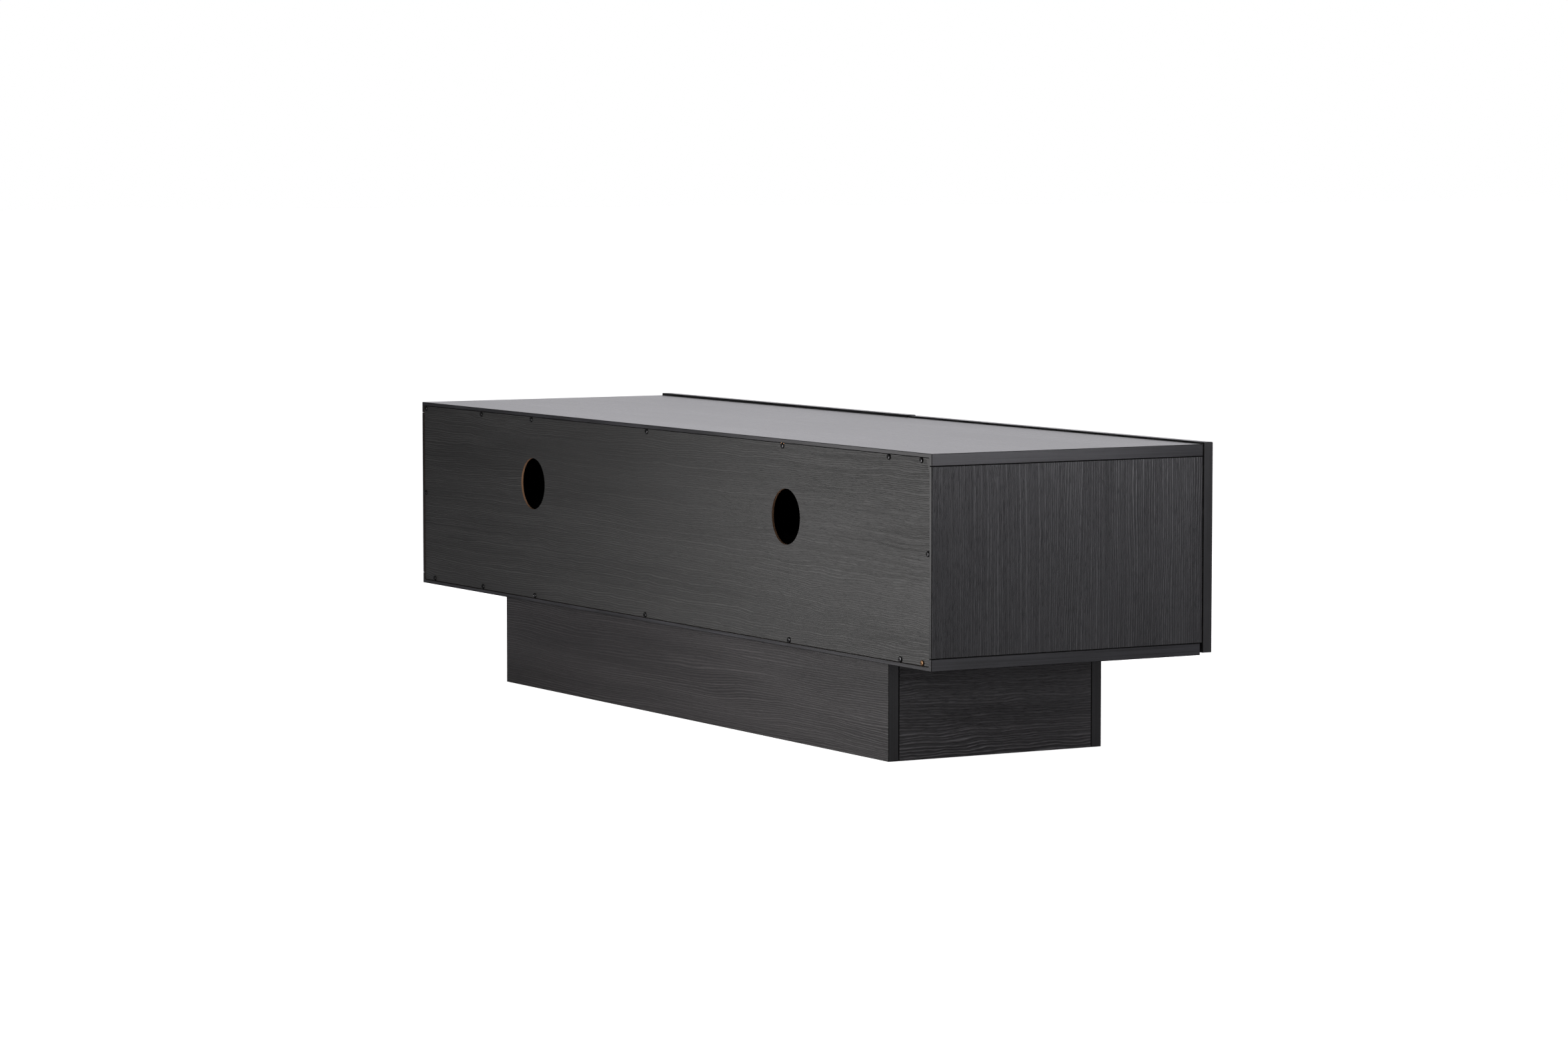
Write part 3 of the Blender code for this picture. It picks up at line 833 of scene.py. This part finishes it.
class CABINET_OT_back_screws(bpy.types.Operator):
    """Build the pan-head screws round the back panel, each stopped at its own angle"""

    bl_idname = "cabinet.back_screws"
    bl_label = "Back panel screws"

    def execute(self, context):
        shape = context.scene.cabinet_shape
        black = metal("black_screw_steel", (0.045, 0.045, 0.047), 0.30, 1, 0.5)
        worn = metal("worn_screw_steel", (0.22, 0.13, 0.07), 0.38, 1, 0.5)
        head = pan_head_screw(shape.screw_radius, BACK_SCREW_HEAD, 0.0015, 0.0138)
        master = mesh_object("screw_master", head, ())
        subtract(master, cross_recess(0.0021, 0.00055, BACK_SCREW_HEAD + 0.0004, 0.0016))
        lowest = carcass_box()[0]
        for number, node in enumerate(SCREW_NODES, start=1):
            low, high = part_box(node)
            seat = Vector(((low.x + high.x) / 2, high.y - BACK_SCREW_HEAD, (low.z + high.z) / 2))
            corner = seat.x < lowest.x + 0.025 and seat.z < lowest.z + 0.02
            material = worn if corner else black
            name = node.replace("back_panel_screw", "pan_screw")
            outward = Vector((0, 1, 0))
            place_copy(master, name, seat, outward, 37 * number, material, "cabinet", (node,))
        bpy.data.objects.remove(master, do_unlink=True)
        return {"FINISHED"}


class CABINET_OT_plinth(bpy.types.Operator):
    """Build the plinth boards with their deep horizontal grain"""

    bl_idname = "cabinet.plinth"
    bl_label = "Plinth"

    def execute(self, context):
        shape, finish = context.scene.cabinet_shape, context.scene.cabinet_finish
        colours = (finish.plinth_ground_with_painted_bounce, finish.plinth_ridge_with_painted_bounce)
        band = edge_band("plinth_edge_band", (0.010, 0.010, 0.011), (700.0, 700.0, 4.0))
        seam_and_painted_shade = seam_with_painted_shade("plinth_seam_and_shade")
        end_look = foil_look(
            finish, pitch=0.0040, contrast=1.25, depth=finish.grain_depth * 1.5, waves=14.0, cloud=0.25
        )
        long_foil = foil("plinth_long_foil", 0, 2, 21.0, colours, foil_look(finish, contrast=0.5))
        end_foil = foil("plinth_end_foil", 1, 2, 27.0, colours, end_look)
        boards = {
            "plinth_front_board": ((0, 2), long_foil),
            "plinth_back_board": ((0, 2), long_foil),
            "plinth_end_board_left": ((1, 2), end_foil),
            "plinth_end_board_right": ((1, 2), end_foil),
        }
        for node, (band_axes, face) in boards.items():
            bm = board_between(*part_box(node), shape.edge_round)
            sort_faces(bm, band_axes)
            obj = mesh_object(node.replace("_board", "_piece"), bm, (face, band, band, seam_and_painted_shade))
            set_in_frame(obj, "cabinet", (node,))
        return {"FINISHED"}


class CABINET_OT_fronts(bpy.types.Operator):
    """Build the two drawer fronts, with a groove behind for the drawer's bottom sheet"""

    bl_idname = "cabinet.fronts"
    bl_label = "Drawer fronts"

    def execute(self, context):
        shape, finish = context.scene.cabinet_shape, context.scene.cabinet_finish
        colours = (finish.foil_ground, finish.foil_ridge)
        band = edge_band("front_edge_band", (0.016, 0.016, 0.017), (700.0, 700.0, 4.0))
        seam_and_painted_shade = seam_with_painted_shade("front_seam_and_shade")
        core = chips("front_core", (0.33, 0.23, 0.13), (0.12, 0.075, 0.04), 700.0)
        face = foil("front_foil", 0, 2, 33.0, colours, foil_look(finish, drift=0.055))
        for side, _ in SIDES:
            node = side + "_drawer_front"
            bm = board_between(*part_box(node), shape.front_round, 4)
            sort_faces(bm, (0, 2))
            obj = mesh_object(side + "_front_board", bm, (face, band, core, seam_and_painted_shade))
            cut_groove(obj, side + "_drawer_bottom")
            set_in_frame(obj, side + "_drawer", (node,))
        return {"FINISHED"}


class CABINET_OT_inner_boards(bpy.types.Operator):
    """Build the inner boards: the partition, the plinth's inside and the drawer boxes"""

    bl_idname = "cabinet.inner_boards"
    bl_label = "Inner boards"

    def execute(self, context):
        shape, finish = context.scene.cabinet_shape, context.scene.cabinet_finish
        colours = (finish.foil_ground, finish.foil_ridge)
        grey = (finish.drawer_ground, finish.drawer_ridge)
        wood = (finish.wood_light, finish.wood_dark)
        quiet = foil_look(finish, contrast=0.5, depth=finish.grain_depth * 0.4, roughness=0.45)
        planed = foil_look(finish, contrast=0.9, pitch=0.0050, roughness=0.65, specular=0.3, pores=0.1)
        seam_and_painted_shade = seam_with_painted_shade("inner_seam_and_shade")
        core = chips("inner_board_core", (0.33, 0.23, 0.13), (0.12, 0.075, 0.04), 700.0)
        black_band = edge_band("partition_band", (0.018, 0.018, 0.019), (700.0, 700.0, 4.0))
        grey_band = edge_band("drawer_band", (0.045, 0.045, 0.047), (4.0, 4.0, 700.0), 0.40)
        end_grain = chips("softwood_end_grain", finish.wood_light, finish.wood_dark, 1400.0)
        drawer_side = foil("drawer_side_foil", 1, 2, 41.0, grey, quiet)
        drawer_back = foil("drawer_back_foil", 0, 2, 43.0, grey, quiet)
        drawer_sheet = foil("drawer_sheet_foil", 0, 1, 47.0, grey, quiet)
        softwood = foil("planed_softwood", 2, 0, 51.0, wood, planed)
        partition = foil("partition_foil", 2, 1, 37.0, colours, quiet)
        brace = foil("brace_foil", 1, 2, 39.0, colours, quiet)
        # node: face, band, axes that its banded edges look along, body, slot, edge rounding
        boards = {
            "centre_partition": (partition, black_band, (1, 2), "cabinet", "carcass_foil", shape.edge_round),
            "plinth_cross_brace": (brace, black_band, (1, 2), "cabinet", "plinth_foil", shape.edge_round),
        }
        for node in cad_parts:
            if "corner_block" in node:
                boards[node] = (softwood, end_grain, (2,), "cabinet", "raw_wood", 0.003)
        for side, _ in SIDES:
            body = side + "_drawer"
            look = (body, "drawer_foil", shape.edge_round)
            boards[body + "_side_left"] = (drawer_side, grey_band, (1, 2), *look)
            boards[body + "_side_right"] = (drawer_side, grey_band, (1, 2), *look)
            boards[body + "_back"] = (drawer_back, grey_band, (0, 2), *look)
            boards[body + "_bottom"] = (drawer_sheet, grey_band, (0, 1), body, "drawer_foil", 0.0002)
        for node, (face, band, band_axes, body, slot, edge) in boards.items():
            bm = board_between(*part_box(node), edge)
            sort_faces(bm, band_axes)
            rounding = band if "corner_block" in node else seam_and_painted_shade
            obj = mesh_object(node + "_piece", bm, (face, band, core, rounding))
            if "_drawer_side_" in node:
                cut_groove(obj, body + "_bottom")
            set_in_frame(obj, body, (node,), 40 if "corner_block" in node else None)
        return {"FINISHED"}


CHANNEL_STEEL = 0.001

# Punched holes in each member's web: distance from its front end, length and width
PUNCHED = {
    "cabinet": (
        (0.0100, 0.0044, 0.0044),
        (0.1700, 0.0100, 0.0044),
        (0.2010, 0.0160, 0.0090),
        (0.2306, 0.0044, 0.0044),
        (0.2850, 0.0160, 0.0090),
        (0.3356, 0.0044, 0.0044),
    ),
    "middle": (
        (0.0200, 0.0050, 0.0050),
        (0.0600, 0.0340, 0.0120),
        (0.1150, 0.0050, 0.0050),
        (0.1700, 0.0340, 0.0120),
        (0.2306, 0.0090, 0.0090),
        (0.2900, 0.0340, 0.0120),
        (0.3356, 0.0090, 0.0090),
    ),
    "drawer": (
        (0.0140, 0.0042, 0.0042),
        (0.0380, 0.0110, 0.0042),
        (0.1100, 0.0042, 0.0042),
        (0.1450, 0.0160, 0.0060),
        (0.2400, 0.0110, 0.0042),
        (0.3000, 0.0042, 0.0042),
    ),
}
SCREWED = {"cabinet": (0.0100, 0.2306, 0.3356), "drawer": (0.0140, 0.1100, 0.3000)}

# Ball cage inside a member: the member that it carries, gap to the web, depth, and place of the balls
CAGES = {"cabinet": ("middle", 0.0005, 0.0074, 0.0048), "middle": ("drawer", 0.0004, 0.0058, 0.0036)}
CAGE_START, CAGE_END = 0.022, 0.150


def arc(centre, radius, start, end, steps=6):
    """Points along an arc in a plane, from one angle in degrees to another."""
    angles = [math.radians(start + (end - start) * step / steps) for step in range(steps + 1)]
    return [(centre[0] + radius * math.cos(a), centre[1] + radius * math.sin(a)) for a in angles]


def channel(web_x, toward, depth, half, steel, y, length, z):
    """A rolled channel along Y. Its web's back is at web_x and its flanges point towards +X or -X."""
    outer = 2.2 * steel
    low, high = (outer, outer - half), (outer, half - outer)
    ring = [
        (depth, half),
        *arc(high, outer, 90, 180),
        *arc(low, outer, 180, 270),
        (depth, -half),
        (depth, steel - half),
        *arc(low, outer - steel, 270, 180),
        *arc(high, outer - steel, 180, 90),
        (depth, half - steel),
    ]
    return extrude_ring([(web_x + toward * v, y, z + rise) for v, rise in ring], Vector((0, length, 0)))


def punch(bm, x, reach, y, z, length, width):
    """Add a slot-shaped punch along X to bm, centred on x."""
    radius = width / 2
    if length <= width:
        merge_into(bm, rod(radius, 28, (x - reach, y, z), (x + reach, y, z)))
        return
    half = length / 2 - radius
    ring = [*arc((y + half, z), radius, -90, 90, 12), *arc((y - half, z), radius, 90, 270, 12)]
    merge_into(bm, extrude_ring([(x - reach, *point) for point in ring], Vector((2 * reach, 0, 0))))


def member_frame(side, member, hand):
    """Where a runner member is: its box, the place of its web's back, and where its flanges point."""
    low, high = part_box(f"{side}_drawer_runner_{member}_member_{hand}")
    toward = 1 if hand == "left" else -1
    if member == "drawer":
        toward = -toward
    return low, high, (low.x if toward > 0 else high.x), toward


class CABINET_OT_runners(bpy.types.Operator):
    """Build the runner members with their punched webs, ball cages, balls, levers and screws"""

    bl_idname = "cabinet.runners"
    bl_label = "Runners"

    def execute(self, context):
        shape = context.scene.cabinet_shape
        zinc = metal("zinc_plated_steel", (0.60, 0.61, 0.62), 0.30, 1, 0.18)
        bright = metal("ball_steel", (0.75, 0.75, 0.76), 0.12, 1, 0.05)
        cage = metal("cage_steel", (0.46, 0.46, 0.45), 0.38, 1, 0.20)
        lever = moulded("lever_plastic", (0.020, 0.020, 0.022), 0.40)
        screw = mesh_object("runner_screw_master", pan_head_screw(0.0032, 0.0005, 0.0014, 0.0090), ())
        subtract(screw, cross_recess(0.0018, 0.0005, 0.0009, 0.0012))
        for side, _ in SIDES:
            bodies = {"cabinet": "cabinet", "middle": side + "_middle_runners", "drawer": side + "_drawer"}
            for hand in ("left", "right"):
                for member, body in bodies.items():
                    self.member(side, member, hand, body, zinc)
                    if member in SCREWED:
                        self.screws(screw, side, member, hand, body, zinc)
                    if member in CAGES:
                        self.cage(side, member, hand, body, cage, bright, shape.balls_per_row)
                self.lever(side, hand, lever)
        bpy.data.objects.remove(screw, do_unlink=True)
        return {"FINISHED"}

    def member(self, side, member, hand, body, material):
        low, high, web_x, toward = member_frame(side, member, hand)
        z, half = (low.z + high.z) / 2, (high.z - low.z) / 2
        length = high.y - low.y
        bm = channel(web_x, toward, high.x - low.x, half, CHANNEL_STEEL, low.y, length, z)
        obj = mesh_object(f"{side}_runner_{member}_{hand}", bm, (material,))
        punches = bmesh.new()
        for offset, long, wide in PUNCHED[member]:
            punch(punches, web_x, 2 * CHANNEL_STEEL, low.y + offset, z, long, wide)
        subtract(obj, punches)
        node = f"{side}_drawer_runner_{member}_member_{hand}"
        set_in_frame(obj, body, (node,), 30)

    def screws(self, master, side, member, hand, body, material):
        low, high, web_x, toward = member_frame(side, member, hand)
        for number, offset in enumerate(SCREWED[member], start=1):
            seat = Vector((web_x + toward * CHANNEL_STEEL, low.y + offset, (low.z + high.z) / 2))
            name = f"{side}_{member}_screw_{hand}_{number}"
            axis = Vector((toward, 0, 0))
            place_copy(master, name, seat, axis, 29 * number, material, body)

    def cage(self, side, member, hand, body, steel, ball_steel, count):
        low, high, web_x, toward = member_frame(side, member, hand)
        carried, gap, depth, ball_place = CAGES[member]
        inner_low, inner_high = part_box(f"{side}_drawer_runner_{carried}_member_{hand}")
        z = (low.z + high.z) / 2
        race_out = (high.z - low.z) / 2 - CHANNEL_STEEL
        race_in = (inner_high.z - inner_low.z) / 2
        row = (race_out + race_in) / 2
        cage_x = web_x + toward * (CHANNEL_STEEL + gap)
        sheet = 0.0005
        start, length = low.y + CAGE_START, CAGE_END - CAGE_START
        bm = channel(cage_x, toward, depth, row + sheet / 2, sheet, start, length, z)
        name = f"{side}_{member}_ball_cage_{hand}"
        obj = mesh_object(name, bm, (steel,))
        windows = bmesh.new()
        for offset in (0.022, 0.064, 0.106):
            punch(windows, cage_x, 2 * sheet, start + offset, z, 0.030, 0.012)
        subtract(obj, windows)
        set_in_frame(obj, body, (), 30)
        balls = bmesh.new()
        radius = (race_out - race_in) / 2 - 0.00005
        for index in range(count):
            y = start + length * (index + 0.5) / count
            for rise in (-row, row):
                place = Matrix.Translation((cage_x + toward * ball_place, y, z + rise))
                bmesh.ops.create_icosphere(balls, subdivisions=3, radius=radius, matrix=place)
        obj = mesh_object(f"{side}_{member}_balls_{hand}", balls, (ball_steel,))
        set_in_frame(obj, body, (), 60)

    def lever(self, side, hand, material):
        """Release lever inside the drawer member: a bent tongue with a round thumb pad."""
        low, high, web_x, toward = member_frame(side, "drawer", hand)
        y, z = low.y + 0.165, (low.z + high.z) / 2
        upper, lower = [], []
        for step in range(25):
            along = step / 24
            bend = 0.0016 * math.sin(2 * math.pi * along)
            half = 0.0017 + 0.0018 * along**6
            upper.append((y + 0.060 * along, z + bend + half))
            lower.append((y + 0.060 * along, z + bend - half))
        ring = [(web_x + toward * 0.0018, *point) for point in upper + lower[::-1]]
        bm = extrude_ring(ring, Vector((toward * 0.002, 0, 0)))
        bevel_all(bm, 0.0002, 1)
        obj = mesh_object(f"{side}_release_lever_{hand}", bm, (material,))
        set_in_frame(obj, side + "_drawer", (), 40)


class CABINET_OT_latches(bpy.types.Operator):
    """Build the push latches: housing with rounded edges, collar, two screws and a turned plunger"""

    bl_idname = "cabinet.latches"
    bl_label = "Push latches"

    def execute(self, context):
        grey = moulded("latch_housing_plastic", (0.13, 0.13, 0.135), 0.45)
        pale = moulded("latch_plunger_plastic", (0.46, 0.46, 0.45), 0.35)
        zinc = metal("latch_screw_steel", (0.60, 0.61, 0.62), 0.32, 1, 0.2)
        screw = mesh_object("latch_screw_master", pan_head_screw(0.0030, 0.0012, 0.0013, 0.0120), ())
        subtract(screw, cross_recess(0.0016, 0.00045, 0.0016, 0.0013))
        for side, _ in SIDES:
            node = side + "_push_latch_housing"
            low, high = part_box(node)
            bm = board_between(low, high, 0.0010)
            obj = mesh_object(side + "_latch_housing", bm, (grey,))
            plunger_low, plunger_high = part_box(side + "_push_latch_plunger")
            axis = (plunger_low + plunger_high) / 2
            radius = (plunger_high.x - plunger_low.x) / 2
            start = Vector((axis.x, low.y - 0.01, axis.z))
            end = Vector((axis.x, plunger_high.y + 0.0095, axis.z))
            cutters = rod(radius + 0.0004, 48, start, end)
            for step in range(5):
                y = low.y + 0.020 + 0.008 * step
                for edge_x in (low.x, high.x):
                    corner = Vector((edge_x, y, (low.z + high.z) / 2))
                    size = Vector((0.0006, 0.0018, 0.0045))
                    merge_into(cutters, board_between(corner - size, corner + size, 0.0))
            subtract(obj, cutters)
            set_in_frame(obj, "cabinet", (node,), 40)
            self.collar(side, axis, low.y, radius, grey)
            self.plunger(side, axis, plunger_low.y, plunger_high.y, radius, pale)
            for number, y in enumerate((low.y + 0.012, high.y - 0.004), start=1):
                seat, down = Vector((axis.x, y, low.z)), Vector((0, 0, -1))
                name = f"{side}_latch_screw_{number}"
                place_copy(screw, name, seat, down, 50 * number, zinc, "cabinet")
        bpy.data.objects.remove(screw, do_unlink=True)
        return {"FINISHED"}

    def collar(self, side, axis, mouth, radius, material):
        inner, outer, proud = radius + 0.0004, radius + 0.0022, 0.0009
        profile = [(inner, 0.0003), (inner, proud - 0.0003), (inner + 0.0003, proud)]
        profile += [(outer - 0.0004, proud), (outer, proud - 0.0004), (outer, 0.0003), (inner, 0.0003)]
        obj = mesh_object(side + "_latch_collar", turned(profile, 48), (material,))
        obj.data.transform(Matrix.Translation((axis.x, mouth, axis.z)) @ Matrix.Rotation(math.pi, 4, "X"))
        set_in_frame(obj, "cabinet", (), 35)

    def plunger(self, side, axis, tip, tail, radius, material):
        profile = [(0.0, 0.0), *[(x, y) for y, x in arc((0.0015, radius - 0.0015), 0.0015, 180, 90)]]
        for groove in (0.004, 0.006, 0.008):
            profile += [(radius, groove), (radius - 0.0004, groove + 0.0003)]
            profile += [(radius - 0.0004, groove + 0.0008), (radius, groove + 0.0011)]
        profile += [(radius, tail - tip - 0.0005), (radius - 0.0005, tail - tip), (0.0, tail - tip)]
        obj = mesh_object(side + "_latch_plunger", turned(profile, 40), (material,))
        obj.data.transform(Matrix.Translation((axis.x, tip, axis.z)))
        node = side + "_push_latch_plunger"
        set_in_frame(obj, side + "_latch_plunger", (node,), 35)


class CABINET_OT_fittings(bpy.types.Operator):
    """Build the cam discs, the screws of the drawer backs and the screws of the plinth blocks"""

    bl_idname = "cabinet.fittings"
    bl_label = "Cams and screws"

    def execute(self, context):
        shape = context.scene.cabinet_shape
        zinc = metal("cam_zinc", (0.42, 0.42, 0.43), 0.42, 0, 0.25)
        brass = metal("yellow_screw_steel", (0.62, 0.47, 0.20), 0.34, 2, 0.25)
        cam = mesh_object("cam_master", turned(self.cam_profile(shape.cam_radius), 48), ())
        subtract(cam, cross_recess(0.0046, 0.0009, 0.0010, 0.0014))
        screw = mesh_object("block_screw_master", pan_head_screw(0.0035, 0.0005, 0.0015, 0.0110), ())
        subtract(screw, cross_recess(0.0020, 0.0005, 0.0009, 0.0012))
        floor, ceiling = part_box("bottom_panel")[1].z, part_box("top_panel")[0].z
        heights = (floor + 0.034, ceiling - 0.034)
        walls = {
            "left_panel": (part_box("side_panel_left")[1].x, 1),
            "right_panel": (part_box("side_panel_right")[0].x, -1),
            "partition": (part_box("centre_partition")[1].x, 1),
        }
        for wall, (x, facing) in walls.items():
            for number, (y, z) in enumerate(((y, z) for y in (-0.16, 0.0, 0.17) for z in heights), start=1):
                seat, axis = Vector((x, y, z)), Vector((facing, 0, 0))
                name = f"{wall}_cam_{number}"
                place_copy(cam, name, seat, axis, 40 * number, zinc, "cabinet")
        for side, _ in SIDES:
            body = side + "_drawer"
            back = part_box(body + "_back")
            for hand, facing in (("left", 1), ("right", -1)):
                low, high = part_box(f"{body}_side_{hand}")
                inner, outer = (high.x, low.x) if facing > 0 else (low.x, high.x)
                for number, z in enumerate((low.z + 0.031, high.z - 0.029), start=1):
                    seat, axis = Vector((inner, low.y + 0.034, z)), Vector((facing, 0, 0))
                    name = f"{side}_front_cam_{hand}_{number}"
                    place_copy(cam, name, seat, axis, 65 * number, zinc, body)
                    seat.x, seat.y = outer, (back[0].y + back[1].y) / 2
                    name = f"{side}_back_screw_{hand}_{number}"
                    place_copy(screw, name, seat, -axis, 20 * number, brass, body)
        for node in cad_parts:
            if "corner_block" in node:
                low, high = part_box(node)
                seat = Vector(((low.x + high.x) / 2, (low.y + high.y) / 2, low.z))
                name = node.replace("plinth_corner_block", "block_screw")
                place_copy(screw, name, seat, Vector((0, 0, -1)), 15, brass, "cabinet")
        for master in (cam, screw):
            bpy.data.objects.remove(master, do_unlink=True)
        return {"FINISHED"}

    def cam_profile(self, radius):
        dish = [(0.0, 0.0004), (radius - 0.0014, 0.0004), (radius - 0.0010, 0.0006)]
        return [*dish, (radius - 0.0002, 0.0006), (radius, 0.0004), (radius, -0.0100), (0.0, -0.0100)]


class CABINET_OT_stage(bpy.types.Operator):
    """Lay the pale floor, and set up the soft studio light and the camera"""

    bl_idname = "cabinet.stage"
    bl_label = "Studio"

    def execute(self, context):
        stage = context.scene.cabinet_stage
        context.scene.view_settings.view_transform = "Standard"
        self.lay_floor(stage)
        self.light_room(context, stage)
        self.place_camera(context, stage)
        return {"FINISHED"}

    def lay_floor(self, stage):
        """The floor that is seen stays pale. A darker one below it takes its place in reflections."""
        shades = {"floor": stage.floor_shade, "reflected_floor": stage.reflected_floor_shade}
        for name, shade in shades.items():
            bm = bmesh.new()
            bmesh.ops.create_grid(bm, x_segments=1, y_segments=1, size=60.0)
            material, _, shader = new_material(name + "_paper", 0.9, 0.0, 0.1)
            shader.inputs["Base Color"].default_value = (shade, shade, shade, 1.0)
            floor = mesh_object(name, bm, (material,))
            seen = name == "floor"
            if seen:
                shader.inputs["Emission Color"].default_value = (1.0, 1.0, 1.0, 1.0)
                shader.inputs["Emission Strength"].default_value = stage.floor_glow
            else:
                floor.location.z = -0.001
            floor.visible_camera = seen
            floor.visible_diffuse = floor.visible_glossy = floor.visible_shadow = not seen

    def light_room(self, context, stage):
        world = bpy.data.worlds.new("studio")
        world.use_nodes = True
        tree = world.node_tree
        background = tree.nodes["Background"]
        direction = tree.nodes.new("ShaderNodeTexCoord").outputs["Generated"]
        haze = stage.haze
        total = add(tree, "CombineXYZ", i0=haze, i1=haze, i2=haze).outputs[0]
        for azimuth, elevation, inner, outer, strength, tint in GLOWS:
            toward = bearing(azimuth, elevation)
            facing = add(tree, "VectorMath", {"operation": "DOT_PRODUCT"}, i0=direction, i1=toward)
            edge, core = math.cos(math.radians(outer)), math.cos(math.radians(inner))
            glow = ramp(tree, facing.outputs["Value"], edge, core)
            colour = add(tree, "CombineXYZ", i0=tint[0], i1=tint[1], i2=tint[2]).outputs[0]
            scaled = add(tree, "VectorMath", {"operation": "SCALE"}, i0=colour)
            tree.links.new(calc(tree, "MULTIPLY", glow, strength), scaled.inputs["Scale"])
            total = add(tree, "VectorMath", {"operation": "ADD"}, i0=total, i1=scaled.outputs[0]).outputs[0]
        tree.links.new(total, background.inputs["Color"])
        background.inputs["Strength"].default_value = stage.world_light
        white = add(tree, "Background", i0=(1.0, 1.0, 1.0, 1.0), i1=1.0)
        seen = tree.nodes.new("ShaderNodeLightPath").outputs["Is Camera Ray"]
        mix = add(tree, "MixShader", i0=seen)
        tree.links.new(background.outputs[0], mix.inputs[1])
        tree.links.new(white.outputs[0], mix.inputs[2])
        tree.links.new(mix.outputs[0], tree.nodes["World Output"].inputs["Surface"])
        context.scene.world = world
        for name, azimuth, elevation, distance, size, radiance, tint in SOFTBOXES:
            lamp = bpy.data.lights.new(name, "AREA")
            lamp.shape = "SQUARE"
            lamp.size = size
            lamp.energy = radiance * math.pi * size * size * stage.lamp_light
            lamp.color = tint
            holder = bpy.data.objects.new(name, lamp)
            holder.location = ROOM_CENTRE + distance * bearing(azimuth, elevation)
            holder.rotation_mode = "QUATERNION"
            holder.rotation_quaternion = (-bearing(azimuth, elevation)).to_track_quat("-Z", "Y")
            holder.visible_camera = False
            context.scene.collection.objects.link(holder)

    def place_camera(self, context, stage):
        low, high = carcass_box()
        corner = Vector((low.x, high.y, high.z))
        camera = bpy.data.cameras.new("studio_camera")
        camera.lens = stage.lens
        camera.sensor_width = 36.0
        camera.clip_end = 200.0
        holder = bpy.data.objects.new("studio_camera", camera)
        holder.location = corner + Vector(stage.camera_offset)
        holder.rotation_mode = "QUATERNION"
        holder.rotation_quaternion = Vector(stage.camera_aim).to_track_quat("-Z", "Y")
        context.scene.collection.objects.link(holder)
        context.scene.camera = holder


class CABINET_PT_panel(bpy.types.Panel):
    """Lists the pieces in the order in which they are built"""

    bl_idname = "CABINET_PT_panel"
    bl_label = "Low cabinet"
    bl_space_type = "VIEW_3D"
    bl_region_type = "UI"
    bl_category = "Cabinet"

    def draw(self, context):
        for operator in OPERATORS:
            self.layout.operator(operator.bl_idname)


OPERATORS = (
    CABINET_OT_carcass,
    CABINET_OT_back_panel,
    CABINET_OT_back_screws,
    CABINET_OT_back_marks,
    CABINET_OT_plinth,
    CABINET_OT_fronts,
    CABINET_OT_inner_boards,
    CABINET_OT_runners,
    CABINET_OT_latches,
    CABINET_OT_fittings,
    CABINET_OT_stage,
)
CLASSES = (CabinetShape, CabinetFinish, CabinetStage, *OPERATORS, CABINET_PT_panel)


def register():
    for cls in CLASSES:
        bpy.utils.register_class(cls)
    bpy.types.Scene.cabinet_shape = PointerProperty(type=CabinetShape)
    bpy.types.Scene.cabinet_finish = PointerProperty(type=CabinetFinish)
    bpy.types.Scene.cabinet_stage = PointerProperty(type=CabinetStage)


def unregister():
    del bpy.types.Scene.cabinet_stage
    del bpy.types.Scene.cabinet_finish
    del bpy.types.Scene.cabinet_shape
    for cls in reversed(CLASSES):
        bpy.utils.unregister_class(cls)


def main():
    register()
    for operator in OPERATORS:
        group, name = operator.bl_idname.split(".")
        getattr(getattr(bpy.ops, group), name)()


if __name__ == "__main__":
    main()
